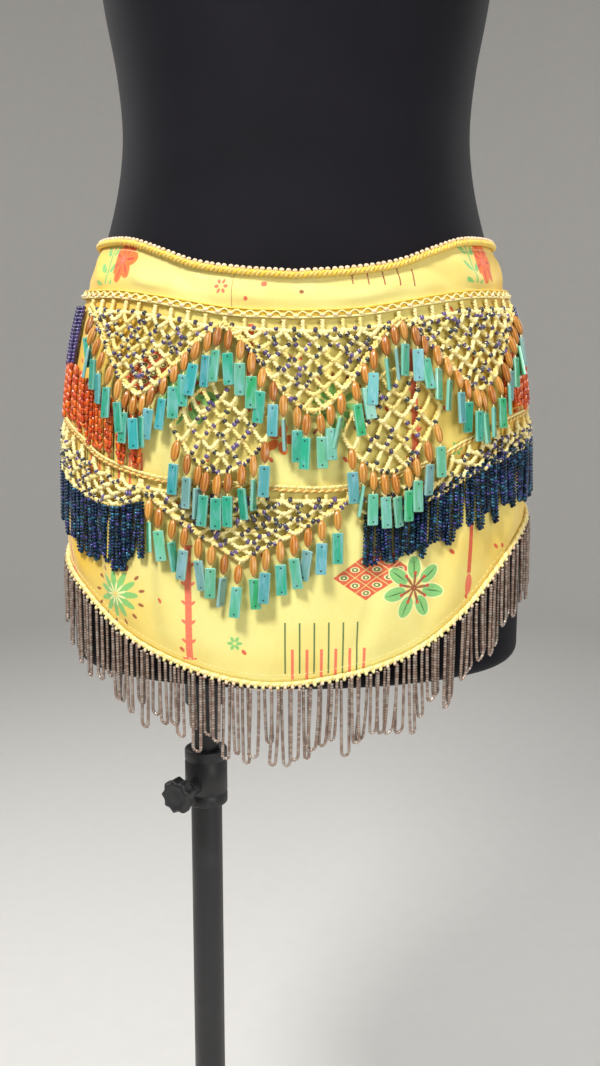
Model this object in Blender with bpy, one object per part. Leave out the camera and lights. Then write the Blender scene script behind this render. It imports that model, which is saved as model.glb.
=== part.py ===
"""Belly dance hip belt, worn by a limbless dress form on an adjustable stand.

Metres, +Z up, the belt's front towards -Y.  The origin is on the floor, under
the centre of the round base.  Each point of the belt is placed by three sizes:
"along", the way round the hips from the centre front (+ towards +X), its
height, and "out", its distance from the surface of the form.
"""
import math

import bmesh
import bpy
import numpy as np
from mathutils import Matrix, Vector

MM = 0.001
SEAM_GAP = 0.3 * MM
SHARP_ANGLE = math.radians(35)

# ---------------------------------------------------------------- dress form
# One row for each level of the form: an ellipse, deeper behind than in front.
FORM_COLUMNS = ("height", "half_width", "front", "back")
FORM_LEVELS = (
    (0.700, 0.168, 0.106, 0.122),
    (0.840, 0.168, 0.106, 0.127),
    (0.900, 0.165, 0.106, 0.124),
    (0.950, 0.156, 0.104, 0.117),
    (1.000, 0.139, 0.100, 0.108),
    (1.045, 0.1275, 0.096, 0.099),
    (1.080, 0.124, 0.095, 0.094),
    (1.120, 0.127, 0.097, 0.092),
    (1.160, 0.134, 0.100, 0.094),
    (1.220, 0.143, 0.108, 0.100),
    (1.300, 0.156, 0.117, 0.106),
    (1.370, 0.167, 0.108, 0.103),
    (1.420, 0.164, 0.087, 0.090),
    (1.460, 0.128, 0.068, 0.072),
    (1.485, 0.080, 0.056, 0.060),
    (1.510, 0.060, 0.051, 0.054),
    (1.560, 0.056, 0.050, 0.052),
)
FORM_BOTTOM = 0.700
FORM_TOP = 1.560
FORM_EDGE_COLUMNS = ("rise", "inset")
FORM_EDGE = ((0.0, 14 * MM), (4 * MM, 4 * MM), (13 * MM, 0.0))
NECK_EDGE_SHARE = 1 / 3
FORM_SIDES = 36
BELT_ZONE_TOP = 1.02
BELT_ZONE_STEP = 0.034
HIP_HEIGHT = 0.840

# ------------------------------------------------------------------- stand
POLE_X = -0.073
POLE_Y = 0.020
BASE_RADIUS = 0.200
BASE_THICK = 8 * MM
BASE_EDGE = 3 * MM
BASE_SIDES = 44
LOWER_TUBE_RADIUS = 12.5 * MM
LOWER_TUBE_BORE = 11.2 * MM
LOWER_TUBE_TOP = 0.600
UPPER_TUBE_RADIUS = 10.5 * MM
UPPER_TUBE_BORE = 9.2 * MM
UPPER_TUBE_FOOT = 0.300
TUBE_SIDES = 20
COLLAR_RADIUS = 17 * MM
COLLAR_BORE = 12.8 * MM
COLLAR_FOOT = 0.572
COLLAR_TOP = 0.618
BOSS_RADIUS = 6.5 * MM
BOSS_START = 15 * MM
BOSS_END = 24 * MM
BOSS_SIDES = 12
KNOB_HEIGHT = 0.590
KNOB_TURN = math.radians(30)
KNOB_LOBES = 9
KNOB_LOBE_DEPTH = 0.9 * MM
KNOB_NECK = 8 * MM
# Knob: radius, and distance past the boss.
KNOB_PROFILE = (
    (0.0, 0.0),
    (3 * MM, 0.0),
    (3 * MM, 5 * MM),
    (KNOB_NECK, 6 * MM),
    (13 * MM, 7 * MM),
    (14 * MM, 9 * MM),
    (14 * MM, 16 * MM),
    (12 * MM, 18 * MM),
    (0.0, 18.6 * MM),
)
FLANGE_RADIUS = 38 * MM
FLANGE_THICK = 5 * MM
FLANGE_SIDES = 24
HUB_RADIUS = 16 * MM
HUB_FOOT = 0.655
HUB_BORE = 10.9 * MM
HUB_FLOOR = 4 * MM
HUB_TOP = FORM_BOTTOM - SEAM_GAP - HUB_FLOOR

# -------------------------------------------------------------------- cloth
CLOTH_OUT = 1.4 * MM
CLOTH_THICK = 1.4 * MM
LAP = 40 * MM
LAP_RISE = 60 * MM
LAP_LIFT = 2.0 * MM
CLOTH_STEP = 15.5 * MM
SKIRT_SPANS = 4

# Edges of the cloth, one row for each place round half of the hips.
EDGE_COLUMNS = ("along", "top_edge", "band_seam")
EDGES = (
    (0.000, 0.971, 0.949),
    (0.043, 0.974, 0.951),
    (0.075, 0.979, 0.956),
    (0.105, 0.988, 0.961),
    (0.135, 0.996, 0.965),
    (0.165, 0.999, 0.967),
    (0.231, 1.001, 0.971),
    (0.330, 1.003, 0.974),
    (0.460, 1.004, 0.975),
)
# Hem, signed: it swings lower on the left hip and climbs sooner on the right.
HEM_COLUMNS = ("along", "hem")
HEM = (
    (-0.451, 0.856),
    (-0.390, 0.849),
    (-0.330, 0.830),
    (-0.260, 0.803),
    (-0.210, 0.785),
    (-0.165, 0.766),
    (-0.140, 0.751),
    (-0.115, 0.736),
    (-0.085, 0.724),
    (-0.045, 0.713),
    (-0.015, 0.710),
    (0.015, 0.713),
    (0.060, 0.723),
    (0.090, 0.736),
    (0.120, 0.757),
    (0.150, 0.783),
    (0.175, 0.801),
    (0.205, 0.814),
    (0.250, 0.825),
    (0.330, 0.840),
    (0.390, 0.851),
    (0.451, 0.856),
)
# Line that the lower row of lace hangs from, signed: the right side climbs first.
LOW_LINE_COLUMNS = ("along", "height")
LOW_LINE = (
    (-0.270, 0.891),
    (-0.202, 0.884),
    (-0.161, 0.869),
    (-0.140, 0.857),
    (-0.115, 0.849),
    (-0.086, 0.843),
    (-0.042, 0.841),
    (0.031, 0.839),
    (0.084, 0.853),
    (0.124, 0.871),
    (0.169, 0.884),
    (0.270, 0.892),
)

# ------------------------------------------------- what lies on the cloth
# Layers over the cloth, by their distance from the form.
LACE_OUT = 3.3 * MM
LACE_THICK = 1.4 * MM
OVERLAY_OUT = 5.6 * MM
OVERLAY_THICK = 1.6 * MM

EDGE_CORD_OUT = 4.2 * MM
EDGE_CORD_RADIUS = 2.6 * MM
EDGE_CORD_SIDES = 5
TRIM_STEP = 15.5 * MM
CORD_STEP = 18.5 * MM
BAND_TRIM_HALF = 3.0 * MM
BAND_TRIM_THICK = 2.0 * MM
LOW_TRIM_HALF = 2.5 * MM
LOW_TRIM_ENDS = (-0.266, 0.247)

# Lace: a net of diamond cells.  "opening" is the share of a cell's size left open.
NET_BAR = 4 * MM
NET_TO_TRIM = 0.8 * MM
UPPER_NET_CENTRE = 0.011
UPPER_NET_HALF_PITCH = 9.75 * MM
UPPER_NET_LEVEL = 9.0 * MM
UPPER_NET_POINT = 6
UPPER_NET_OPENING = 0.76
# How rounded the points of the upper lace are: 0 is a zigzag and 1 is a wave.
UPPER_ROUNDNESS = 0.65
# Small diamonds of lace: name, where their middle is, along and up, the height of
# half a cell, and how steeply they tilt.
DIAMONDS = (
    ("lace_diamond_left", -0.047, 0.8785, 10.0 * MM, 0.0),
    ("lace_diamond_right", 0.0620, 0.8820, 10.8 * MM, 0.28),
)
DIAMOND_POINT = 3
DIAMOND_HALF_PITCH = 11 * MM
DIAMOND_OPENING = 0.77
# Power of the curve that the diamonds' edges follow: 1 is straight.
DIAMOND_BULGE = 1.8
LOW_NET_CENTRE = -0.035
LOW_NET_LEVEL = 7.0 * MM
LOW_NET_POINT = 6
LOW_NET_HALF_PITCH = 11.3 * MM
LOW_NET_OPENING = 0.75
SIDE_NET_HALF_PITCH = 11.5 * MM
# The right side net is a plain border; the left one hangs as a swag.
RIGHT_NET_START = 0.040
RIGHT_NET_CELLS = 9
RIGHT_NET_ROWS = 2
RIGHT_NET_DEPTH = 24.3 * MM
LEFT_NET_START = -0.266
LEFT_NET_CELLS = 7
LEFT_NET_ROWS = 3
# Depth of the swag below its line.
SWAG_COLUMNS = ("along", "depth")
SWAG = (
    (-0.270, 13 * MM),
    (-0.222, 25 * MM),
    (-0.188, 37 * MM),
    (-0.160, 36 * MM),
    (-0.141, 31 * MM),
    (-0.121, 26 * MM),
    (-0.105, 18 * MM),
    (-0.080, 12 * MM),
)

STRIP_HEIGHT = 2.5 * MM
STRIP_END = 3
# Bead drops: an oval bead, a thin neck and a flat tube bead below it.  Each row
# is a section: how far below the strip, half width, inner and outer distance.
DROP_SECTIONS = (
    (9.0 * MM, 2.8 * MM, 7.6 * MM, 11.4 * MM),
    (16.5 * MM, 0.8 * MM, 8.0 * MM, 9.6 * MM),
    (18.5 * MM, 3.1 * MM, 7.6 * MM, 11.0 * MM),
    (39.0 * MM, 3.1 * MM, 7.6 * MM, 11.0 * MM),
)
DROP_ROOT_HALF = 0.8 * MM
UPPER_DROPS = 48
UPPER_DROP_PITCH = 7.1 * MM
DIAMOND_DROPS = 9
DIAMOND_DROP_PITCH = 7.0 * MM
LOW_DROPS = 15
LOW_DROP_PITCH = 8.6 * MM

# Loop fringes: name, finish, start and end along, number of strands, their
# length, how far below its line the strip hangs, and its layer.
SWAG_FRINGES = (
    ("blue_fringe_left", "blue_beads", -0.206, -0.1035, 10, 40 * MM, 0.0, "overlay"),
)
LOW_FRINGES = (
    ("blue_fringe_right", "blue_beads", 0.042, 0.248, 18, 40 * MM, 18 * MM, "overlay"),
)
ORANGE_FRINGES = (
    ("orange_fringe_left", "orange_glass", -0.254, -0.104, 11, 36 * MM, 0.0, "lace"),
    ("orange_fringe_right", "orange_glass", 0.157, 0.248, 7, 36 * MM, 0.0, "lace"),
)
ORANGE_ABOVE_LOW_LINE = 45 * MM
PURPLE_FRINGES = (
    ("purple_fringe_left", "purple_beads", -0.254, -0.176, 7, 38 * MM, 7 * MM, "overlay"),
    ("purple_fringe_right", "purple_beads", 0.200, 0.248, 5, 38 * MM, 7 * MM, "overlay"),
)
FRINGE_HALF = 1.4 * MM
HEM_STRANDS = 68
HEM_STRAND_LENGTH = 43 * MM
HEM_STRAND_HALF = 1.5 * MM
HEM_STRIP_OUT = 3.4 * MM
HEM_FRINGE_INSET = 5 * MM
HEM_STRIP_GAP = 1.2 * MM

# Colour, metallic and roughness of each finish.
FINISHES = {
    "form_skin": ((0.055, 0.055, 0.080), 0.0, 0.55),
    "black_metal": ((0.015, 0.015, 0.017), 0.9, 0.40),
    "black_plastic": ((0.020, 0.020, 0.020), 0.0, 0.45),
    "print_cloth": ((0.90, 0.78, 0.10), 0.0, 0.80),
    "cotton_cord": ((0.88, 0.66, 0.12), 0.0, 0.85),
    "picot_trim": ((0.90, 0.70, 0.42), 0.0, 0.80),
    "crochet_lace": ((0.86, 0.68, 0.18), 0.0, 0.85),
    "bead_drops": ((0.10, 0.62, 0.50), 0.0, 0.30),
    "blue_beads": ((0.010, 0.020, 0.120), 0.2, 0.15),
    "orange_glass": ((0.85, 0.12, 0.01), 0.0, 0.10),
    "purple_beads": ((0.040, 0.015, 0.220), 0.1, 0.15),
    "bronze_beads": ((0.45, 0.30, 0.24), 0.5, 0.30),
}


# ------------------------------------------------------------- measurements
def smooth_curve(places, values):
    """Function of a smooth line through the points, level beyond its ends."""
    places = np.array(places, float)
    values = np.array(values, float)
    steps = np.diff(values) / np.diff(places)
    slopes = np.concatenate((steps[:1], (steps[:-1] + steps[1:]) / 2, steps[-1:]))

    def height_at(place):
        place = min(max(place, places[0]), places[-1])
        i = min(int(np.searchsorted(places, place, side="right")) - 1, len(places) - 2)
        span = places[i + 1] - places[i]
        t = (place - places[i]) / span
        start = (1 + 2 * t) * (1 - t) ** 2 * values[i] + t * (1 - t) ** 2 * span * slopes[i]
        end = t * t * (3 - 2 * t) * values[i + 1] + t * t * (t - 1) * span * slopes[i + 1]
        return start + end

    return height_at


def column_curve(rows, columns, place, value):
    """Smooth curve of one column of a table over another."""
    places = [row[columns.index(place)] for row in rows]
    return smooth_curve(places, [row[columns.index(value)] for row in rows])


half_width_at = column_curve(FORM_LEVELS, FORM_COLUMNS, "height", "half_width")
front_at = column_curve(FORM_LEVELS, FORM_COLUMNS, "height", "front")
back_at = column_curve(FORM_LEVELS, FORM_COLUMNS, "height", "back")


def form_point(angle, height, out):
    """Point at an angle from the front, "out" from the form's surface."""
    depth = front_at(height) if math.cos(angle) >= 0 else back_at(height)
    x = (half_width_at(height) + out) * math.sin(angle)
    return Vector((x, -(depth + out) * math.cos(angle), height))


GIRTH_SAMPLES = 721
girth_angles = np.linspace(0, math.pi, GIRTH_SAMPLES)
girth_points = [form_point(angle, HIP_HEIGHT, 0.0) for angle in girth_angles]
girth_steps = [(b - a).length for a, b in zip(girth_points, girth_points[1:])]
girth_lengths = np.concatenate(([0.0], np.cumsum(girth_steps)))
HALF_GIRTH = float(girth_lengths[-1])


def folded(along):
    """Distance from the centre front, counted back again past the centre back."""
    return HALF_GIRTH - abs(HALF_GIRTH - abs(along))


def lap_lift(along):
    """Extra distance from the form where one end of the belt laps over the other."""
    t = min(max((along - HALF_GIRTH + LAP_RISE) / LAP_RISE, 0.0), 1.0)
    return LAP_LIFT * t * t * (3 - 2 * t)


def place(along, height, out):
    """Point of the belt, from its three sizes."""
    angle = float(np.interp(folded(along), girth_lengths, girth_angles))
    if abs(along) > HALF_GIRTH:
        angle = 2 * math.pi - angle
    return form_point(math.copysign(angle, along), height, out + lap_lift(along))


edge_top = column_curve(EDGES, EDGE_COLUMNS, "along", "top_edge")
edge_seam = column_curve(EDGES, EDGE_COLUMNS, "along", "band_seam")
edge_hem = column_curve(HEM, HEM_COLUMNS, "along", "hem")
low_line = column_curve(LOW_LINE, LOW_LINE_COLUMNS, "along", "height")
swag_depth = column_curve(SWAG, SWAG_COLUMNS, "along", "depth")


def top_edge(along):
    return edge_top(folded(along))


def band_seam(along):
    return edge_seam(folded(along))


def hem(along):
    """Past the centre back, the lap follows the hem of the end that it covers."""
    return edge_hem(along - 2 * HALF_GIRTH if along > HALF_GIRTH else along)


def steps_along(start, end, step):
    """Even places from start to end, about a step apart."""
    count = max(1, round((end - start) / step))
    return [start + (end - start) * i / count for i in range(count + 1)]


BELT_START = -HALF_GIRTH
BELT_END = HALF_GIRTH + LAP
TRIM_START = BELT_START + LAP + 2 * MM


# ------------------------------------------------------------ mesh builders
def material(finish):
    colour, metallic, roughness = FINISHES[finish]
    shade = bpy.data.materials.get(finish) or bpy.data.materials.new(finish)
    shade.use_nodes = True
    surface = shade.node_tree.nodes["Principled BSDF"]
    surface.inputs["Base Color"].default_value = (*colour, 1.0)
    surface.inputs["Metallic"].default_value = metallic
    surface.inputs["Roughness"].default_value = roughness
    return shade


def solid(name, finish, points, faces, parent, smooth=False):
    """One named object of a closed mesh, its faces turned outwards."""
    mesh = bpy.data.meshes.new(name)
    mesh.from_pydata([tuple(point) for point in points], [], faces)
    shape = bmesh.new()
    shape.from_mesh(mesh)
    bmesh.ops.recalc_face_normals(shape, faces=shape.faces)
    shape.to_mesh(mesh)
    shape.free()
    if smooth:
        mesh.shade_smooth()
        mesh.set_sharp_from_angle(angle=SHARP_ANGLE)
    mesh.materials.append(material(finish))
    thing = bpy.data.objects.new(name, mesh)
    bpy.context.scene.collection.objects.link(thing)
    thing.parent = parent
    thing.matrix_parent_inverse = parent.matrix_world.inverted()
    return thing


def tube_mesh(rings):
    """Points and faces of a closed tube through rings of equal numbers of points."""
    sides = len(rings[0])
    points = [point for ring in rings for point in ring]
    faces = [list(range(sides)), list(range(len(points) - sides, len(points)))]
    for i in range(len(rings) - 1):
        for k in range(sides):
            a = i * sides + k
            b = i * sides + (k + 1) % sides
            faces.append([a, b, b + sides, a + sides])
    return points, faces


def wall(name, finish, places, lines, out, thick, parent):
    """Wall of cloth or trim: "lines" are its level curves, from top to bottom."""
    rings = []
    for along in places:
        outer = [place(along, line(along), out + thick) for line in lines]
        inner = [place(along, line(along), out) for line in reversed(lines)]
        rings.append(outer + inner)
    points, faces = tube_mesh(rings)
    ends = faces[:2]
    count = len(lines)
    capped = []
    for end in ends:
        for k in range(count - 1):
            capped.append([end[k], end[k + 1], end[-k - 2], end[-k - 1]])
    return solid(name, finish, points, capped + faces[2:], parent, smooth=True)


def edge_cord(name, finish, places, height_at, radius, parent):
    """Round cord along an edge of the cloth."""
    rings = []
    for along in places:
        ring = []
        for k in range(EDGE_CORD_SIDES):
            turn = 2 * math.pi * k / EDGE_CORD_SIDES
            height = height_at(along) + radius * math.cos(turn)
            ring.append(place(along, height, EDGE_CORD_OUT + radius * math.sin(turn)))
        rings.append(ring)
    return solid(name, finish, *tube_mesh(rings), parent, smooth=True)


def net(name, finish, cells, bars, lattice, opening, parent):
    """Lace: each cell keeps an opening in its middle, and bars are left whole."""
    points = []
    corner_index = {}
    faces = []
    edge_count = {}

    def both_sides(along, height):
        points.append(place(along, height, LACE_OUT + LACE_THICK))
        points.append(place(along, height, LACE_OUT))
        return len(points) - 2

    def corner(key):
        if key not in corner_index:
            corner_index[key] = both_sides(*lattice(*key))
        return corner_index[key]

    for cell in cells + bars:
        rim = [corner(key) for key in cell]
        for key_a, key_b in zip(cell, cell[1:] + cell[:1]):
            edge_count.setdefault(frozenset((key_a, key_b)), []).append((key_a, key_b))
        if cell in bars:
            faces.append(rim)
            faces.append([k + 1 for k in reversed(rim)])
            continue
        flat = [lattice(*key) for key in cell]
        middle = [sum(values) / len(flat) for values in zip(*flat)]
        hole = []
        for along, height in flat:
            hole.append(both_sides(middle[0] + opening * (along - middle[0]),
                                   middle[1] + opening * (height - middle[1])))
        for k in range(len(cell)):
            n = (k + 1) % len(cell)
            faces.append([rim[k], rim[n], hole[n], hole[k]])
            faces.append([rim[n] + 1, rim[k] + 1, hole[k] + 1, hole[n] + 1])
            faces.append([hole[k], hole[n], hole[n] + 1, hole[k] + 1])
    for uses in edge_count.values():
        if len(uses) == 1:
            a, b = (corner(key) for key in uses[0])
            faces.append([b, a, a + 1, b + 1])
    return solid(name, finish, points, faces, parent)


def strand_strip(name, finish, line, spots, root_half, out, sections, parent):
    """Narrow strip with strands fused to its lower edge.

    line gives the height of the strip's top; sections give each strand's
    widths and distances from the form, from below the strip to its end.  The
    strip runs STRIP_END root half widths past its first and last strand.
    """
    points = []
    faces = []
    stations = [spots[0] - STRIP_END * root_half]
    for spot in spots:
        stations += [spot - root_half, spot + root_half]
    stations.append(spots[-1] + STRIP_END * root_half)
    inner, outer = out, out + OVERLAY_THICK
    for along in stations:
        top = line(along)
        for height, distance in ((top, outer), (top - STRIP_HEIGHT, outer),
                                 (top - STRIP_HEIGHT, inner), (top, inner)):
            points.append(place(along, height, distance))
    for i in range(len(stations) - 1):
        a, b = 4 * i, 4 * i + 4
        for k in (0, 2, 3):
            n = (k + 1) % 4
            faces.append([a + k, a + n, b + n, b + k])
        ring = [a + 1, b + 1, b + 2, a + 2]
        if i % 2 == 0:
            faces.append(ring)
            continue
        spot = spots[i // 2]
        foot = line(spot) - STRIP_HEIGHT
        for below, half_width, near, far in sections:
            first = len(points)
            for side, distance in ((-1, far), (1, far), (1, near), (-1, near)):
                points.append(place(spot + side * half_width, foot - below, distance))
            section = [first, first + 1, first + 2, first + 3]
            for k in range(4):
                n = (k + 1) % 4
                faces.append([ring[k], ring[n], section[n], section[k]])
            ring = section
        faces.append(ring)
    faces.append([0, 1, 2, 3])
    last = len(stations) * 4 - 4
    faces.append([last, last + 1, last + 2, last + 3])
    return solid(name, finish, points, faces, parent)


def turned(name, finish, profile, frame, sides, parent, ring=False, lobe=0.0):
    """Turned piece: profile rows are radius and height; frame places its axis."""
    points = []
    rows = []
    for radius, height in profile:
        if radius == 0:
            rows.append([len(points)] * sides)
            points.append(frame @ Vector((0, 0, height)))
            continue
        rows.append(list(range(len(points), len(points) + sides)))
        for k in range(sides):
            turn = 2 * math.pi * k / sides
            reach = radius - (lobe if k % 2 and radius > KNOB_NECK else 0.0)
            points.append(frame @ Vector((reach * math.cos(turn), reach * math.sin(turn), height)))
    faces = []
    pairs = list(zip(rows, rows[1:] + (rows[:1] if ring else [])))
    for lower, upper in pairs:
        for k in range(sides):
            n = (k + 1) % sides
            corners = [lower[k], lower[n], upper[n], upper[k]]
            faces.append(list(dict.fromkeys(corners)))
    return solid(name, finish, points, faces, parent, smooth=True)


def empty(name, location, parent=None):
    """Origin on a joint's axis, which the moving pieces hang from."""
    marker = bpy.data.objects.new(name, None)
    bpy.context.scene.collection.objects.link(marker)
    marker.location = location
    if parent:
        marker.parent = parent
        marker.location = Vector(location) - parent.matrix_world.translation
    bpy.context.view_layer.update()
    return marker


# --------------------------------------------------------- stand and form
def pole_frame(height=0.0):
    return Matrix.Translation((POLE_X, POLE_Y, height))


def knob_frame():
    """Frame whose +Z runs out of the clamp, along the knob's axis."""
    way = Vector((-math.sin(KNOB_TURN), -math.cos(KNOB_TURN), 0))
    return pole_frame(KNOB_HEIGHT) @ way.to_track_quat("Z", "Y").to_matrix().to_4x4()


def build_stand(stand, post, knob):
    rim = BASE_RADIUS - BASE_EDGE
    turned("base_plate", "black_metal",
           ((0, 0), (BASE_RADIUS - MM, 0), (BASE_RADIUS, MM),
            (BASE_RADIUS, BASE_THICK - BASE_EDGE), (rim, BASE_THICK), (0, BASE_THICK)),
           Matrix.Identity(4), BASE_SIDES, stand)
    foot = BASE_THICK + SEAM_GAP
    turned("lower_tube", "black_metal",
           ((LOWER_TUBE_RADIUS, foot), (LOWER_TUBE_RADIUS, LOWER_TUBE_TOP),
            (LOWER_TUBE_BORE, LOWER_TUBE_TOP), (LOWER_TUBE_BORE, foot)),
           pole_frame(), TUBE_SIDES, stand, ring=True)
    collar = turned("clamp_collar", "black_plastic",
                    ((COLLAR_BORE, COLLAR_FOOT), (COLLAR_RADIUS, COLLAR_FOOT),
                     (COLLAR_RADIUS, COLLAR_TOP - MM), (COLLAR_RADIUS - MM, COLLAR_TOP),
                     (COLLAR_BORE, COLLAR_TOP)),
                    pole_frame(), TUBE_SIDES, stand, ring=True)
    boss = turned("boss_shape", "black_plastic",
                  ((0, BOSS_START), (BOSS_RADIUS, BOSS_START), (BOSS_RADIUS, BOSS_END), (0, BOSS_END)),
                  knob_frame(), BOSS_SIDES, stand)
    boss.hide_render = True
    boss.display_type = "WIRE"
    join = collar.modifiers.new("boss", "BOOLEAN")
    join.operation = "UNION"
    join.solver = "EXACT"
    join.object = boss
    turned("upper_tube", "black_metal",
           ((UPPER_TUBE_RADIUS, UPPER_TUBE_FOOT), (UPPER_TUBE_RADIUS, HUB_TOP - SEAM_GAP),
            (UPPER_TUBE_BORE, HUB_TOP - SEAM_GAP), (UPPER_TUBE_BORE, UPPER_TUBE_FOOT)),
           pole_frame(), TUBE_SIDES, post, ring=True)
    start = BOSS_END + SEAM_GAP
    profile = [(radius, start + past) for radius, past in KNOB_PROFILE]
    turned("clamp_knob", "black_plastic", profile, knob_frame(), 2 * KNOB_LOBES, knob,
           lobe=KNOB_LOBE_DEPTH)


def build_form(form):
    plate_top = FORM_BOTTOM - SEAM_GAP
    plate_foot = plate_top - FLANGE_THICK
    turned("form_flange", "black_metal",
           ((0, HUB_TOP), (HUB_BORE, HUB_TOP), (HUB_BORE, HUB_FOOT), (HUB_RADIUS, HUB_FOOT),
            (HUB_RADIUS, plate_foot), (FLANGE_RADIUS, plate_foot), (FLANGE_RADIUS, plate_top),
            (0, plate_top)),
           pole_frame(), FLANGE_SIDES, form)
    levels = [(FORM_BOTTOM + rise, -inset) for rise, inset in FORM_EDGE]
    start = levels[-1][0]
    levels += [(height, 0.0) for height in steps_along(start, BELT_ZONE_TOP, BELT_ZONE_STEP)[1:]]
    tops = [row[0] for row in FORM_LEVELS if row[0] > BELT_ZONE_TOP + MM]
    levels += [(height, 0.0) for height in tops[:-1]]
    levels += [(FORM_TOP - rise, -inset * NECK_EDGE_SHARE) for rise, inset in reversed(FORM_EDGE)]
    rings = []
    for height, out in levels:
        turns = [2 * math.pi * k / FORM_SIDES for k in range(FORM_SIDES)]
        rings.append([form_point(turn - math.pi, height, out) for turn in turns])
    solid("form_torso", "form_skin", *tube_mesh(rings), form, smooth=True)


# ------------------------------------------------------------------- belt
def build_cloth(form):
    places = steps_along(BELT_START, BELT_END, CLOTH_STEP)
    wall("waist_band", "print_cloth", places,
         (top_edge, lambda along: band_seam(along) + SEAM_GAP), CLOTH_OUT, CLOTH_THICK, form)

    def skirt_line(share):
        def height(along):
            return (1 - share) * (band_seam(along) - SEAM_GAP) + share * hem(along)
        return height

    lines = [skirt_line(k / SKIRT_SPANS) for k in range(SKIRT_SPANS + 1)]
    wall("skirt_panel", "print_cloth", places, lines, CLOTH_OUT, CLOTH_THICK, form)


def build_trims(form):
    places = steps_along(TRIM_START, BELT_END, CORD_STEP)
    lift = EDGE_CORD_RADIUS + SEAM_GAP
    edge_cord("top_trim", "cotton_cord", places, lambda along: top_edge(along) + lift,
              EDGE_CORD_RADIUS, form)
    edge_cord("hem_cord", "cotton_cord", places, lambda along: hem(along) - lift,
              EDGE_CORD_RADIUS, form)
    wall("band_trim", "picot_trim", steps_along(TRIM_START, BELT_END, TRIM_STEP),
         (lambda along: band_seam(along) + BAND_TRIM_HALF,
          lambda along: band_seam(along) - BAND_TRIM_HALF), LACE_OUT, BAND_TRIM_THICK, form)
    wall("low_trim", "cotton_cord", steps_along(*LOW_TRIM_ENDS, TRIM_STEP),
         (lambda along: low_line(along) + LOW_TRIM_HALF,
          lambda along: low_line(along) - LOW_TRIM_HALF), LACE_OUT, LACE_THICK, form)


def header_cell(i):
    """Half cell under the header bar, with a corner in the middle of its top."""
    return [(i - 1, 0), (i, 1), (i + 1, 0), (i, 0)]


def point_cells(reach, middle=0):
    """Cells of a net that narrows to one point below, "reach" half cells each side."""
    cells = []
    for i in range(1 - reach, reach, 2):
        cells.append(header_cell(middle + i))
    for j in range(1, reach):
        for i in range(1 + j - reach, reach - j, 2):
            c = middle + i
            cells.append([(c, j - 1), (c - 1, j), (c, j + 1), (c + 1, j)])
    return cells


def header_bars(start, end):
    """Whole cells above the net's first row, from one half cell to another."""
    return [[(i, -1), (i, 0), (i + 1, 0), (i + 1, -1)] for i in range(start, end)]


def hung_lattice(centre, half_pitch, level_at, line, top_gap):
    """Lattice whose rows follow a line; row -1 is the top of the header bar."""
    def point(i, j):
        along = centre + i * half_pitch
        drop = top_gap if j < 0 else top_gap + NET_BAR + j * level_at(along)
        return along, line(along) - drop
    return point


def border_cells(count, rows):
    """Cells of a net as wide below as above, with an edge of points."""
    cells = [header_cell(i) for i in range(1, 2 * count, 2)]
    for j in range(1, rows):
        for i in range(1 + j % 2, 2 * count, 2):
            cells.append([(i, j - 1), (i - 1, j), (i, j + 1), (i + 1, j)])
    return cells


def border_net(name, start, count, rows, depth_at, form):
    """A net that hangs from the low line, "depth_at" deep below it."""
    top_gap = LOW_TRIM_HALF + NET_TO_TRIM
    net(name, "crochet_lace", border_cells(count, rows), header_bars(0, 2 * count),
        hung_lattice(start, SIDE_NET_HALF_PITCH,
                     lambda along: (depth_at(along) - top_gap - NET_BAR) / rows,
                     low_line, top_gap), UPPER_NET_OPENING, form)


def swag_edge(along):
    """Lower edge of the left side net."""
    return low_line(along) - swag_depth(along)


def upper_turns(along):
    """Share of the way from the nearest point of the upper lace to its end."""
    turns = abs((along - UPPER_NET_CENTRE) / UPPER_NET_HALF_PITCH)
    turns = abs((turns + UPPER_NET_POINT) % (2 * UPPER_NET_POINT) - UPPER_NET_POINT)
    return turns / UPPER_NET_POINT


def upper_share(turns):
    """Share of a point's depth that is left, on a softly rounded line."""
    wave = (1 + math.cos(math.pi * turns)) / 2
    return UPPER_ROUNDNESS * wave + (1 - UPPER_ROUNDNESS) * (1 - turns)


def upper_level(along):
    """Height of half a cell of the upper lace, so that its lower edge is rounded."""
    turns = upper_turns(along)
    if turns > 0.99:
        return UPPER_NET_LEVEL
    return UPPER_NET_LEVEL * upper_share(turns) / (1 - turns)


def upper_edge(along):
    """Lower edge of the upper lace: three rounded points."""
    depth = upper_share(upper_turns(along)) * UPPER_NET_POINT * UPPER_NET_LEVEL
    return band_seam(along) - BAND_TRIM_HALF - NET_TO_TRIM - NET_BAR - depth


def diamond_share(aside):
    """Share of a diamond's half height that is left, away from its middle."""
    turns = min(abs(aside) / (DIAMOND_POINT * DIAMOND_HALF_PITCH), 1)
    return 1 - turns ** DIAMOND_BULGE


def low_edge(along):
    """Lower edge of the lace point in the lower row."""
    turns = min(abs(along - LOW_NET_CENTRE) / LOW_NET_HALF_PITCH, LOW_NET_POINT)
    depth = (LOW_NET_POINT - turns) * LOW_NET_LEVEL
    return low_line(along) - LOW_TRIM_HALF - NET_TO_TRIM - NET_BAR - depth


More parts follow.
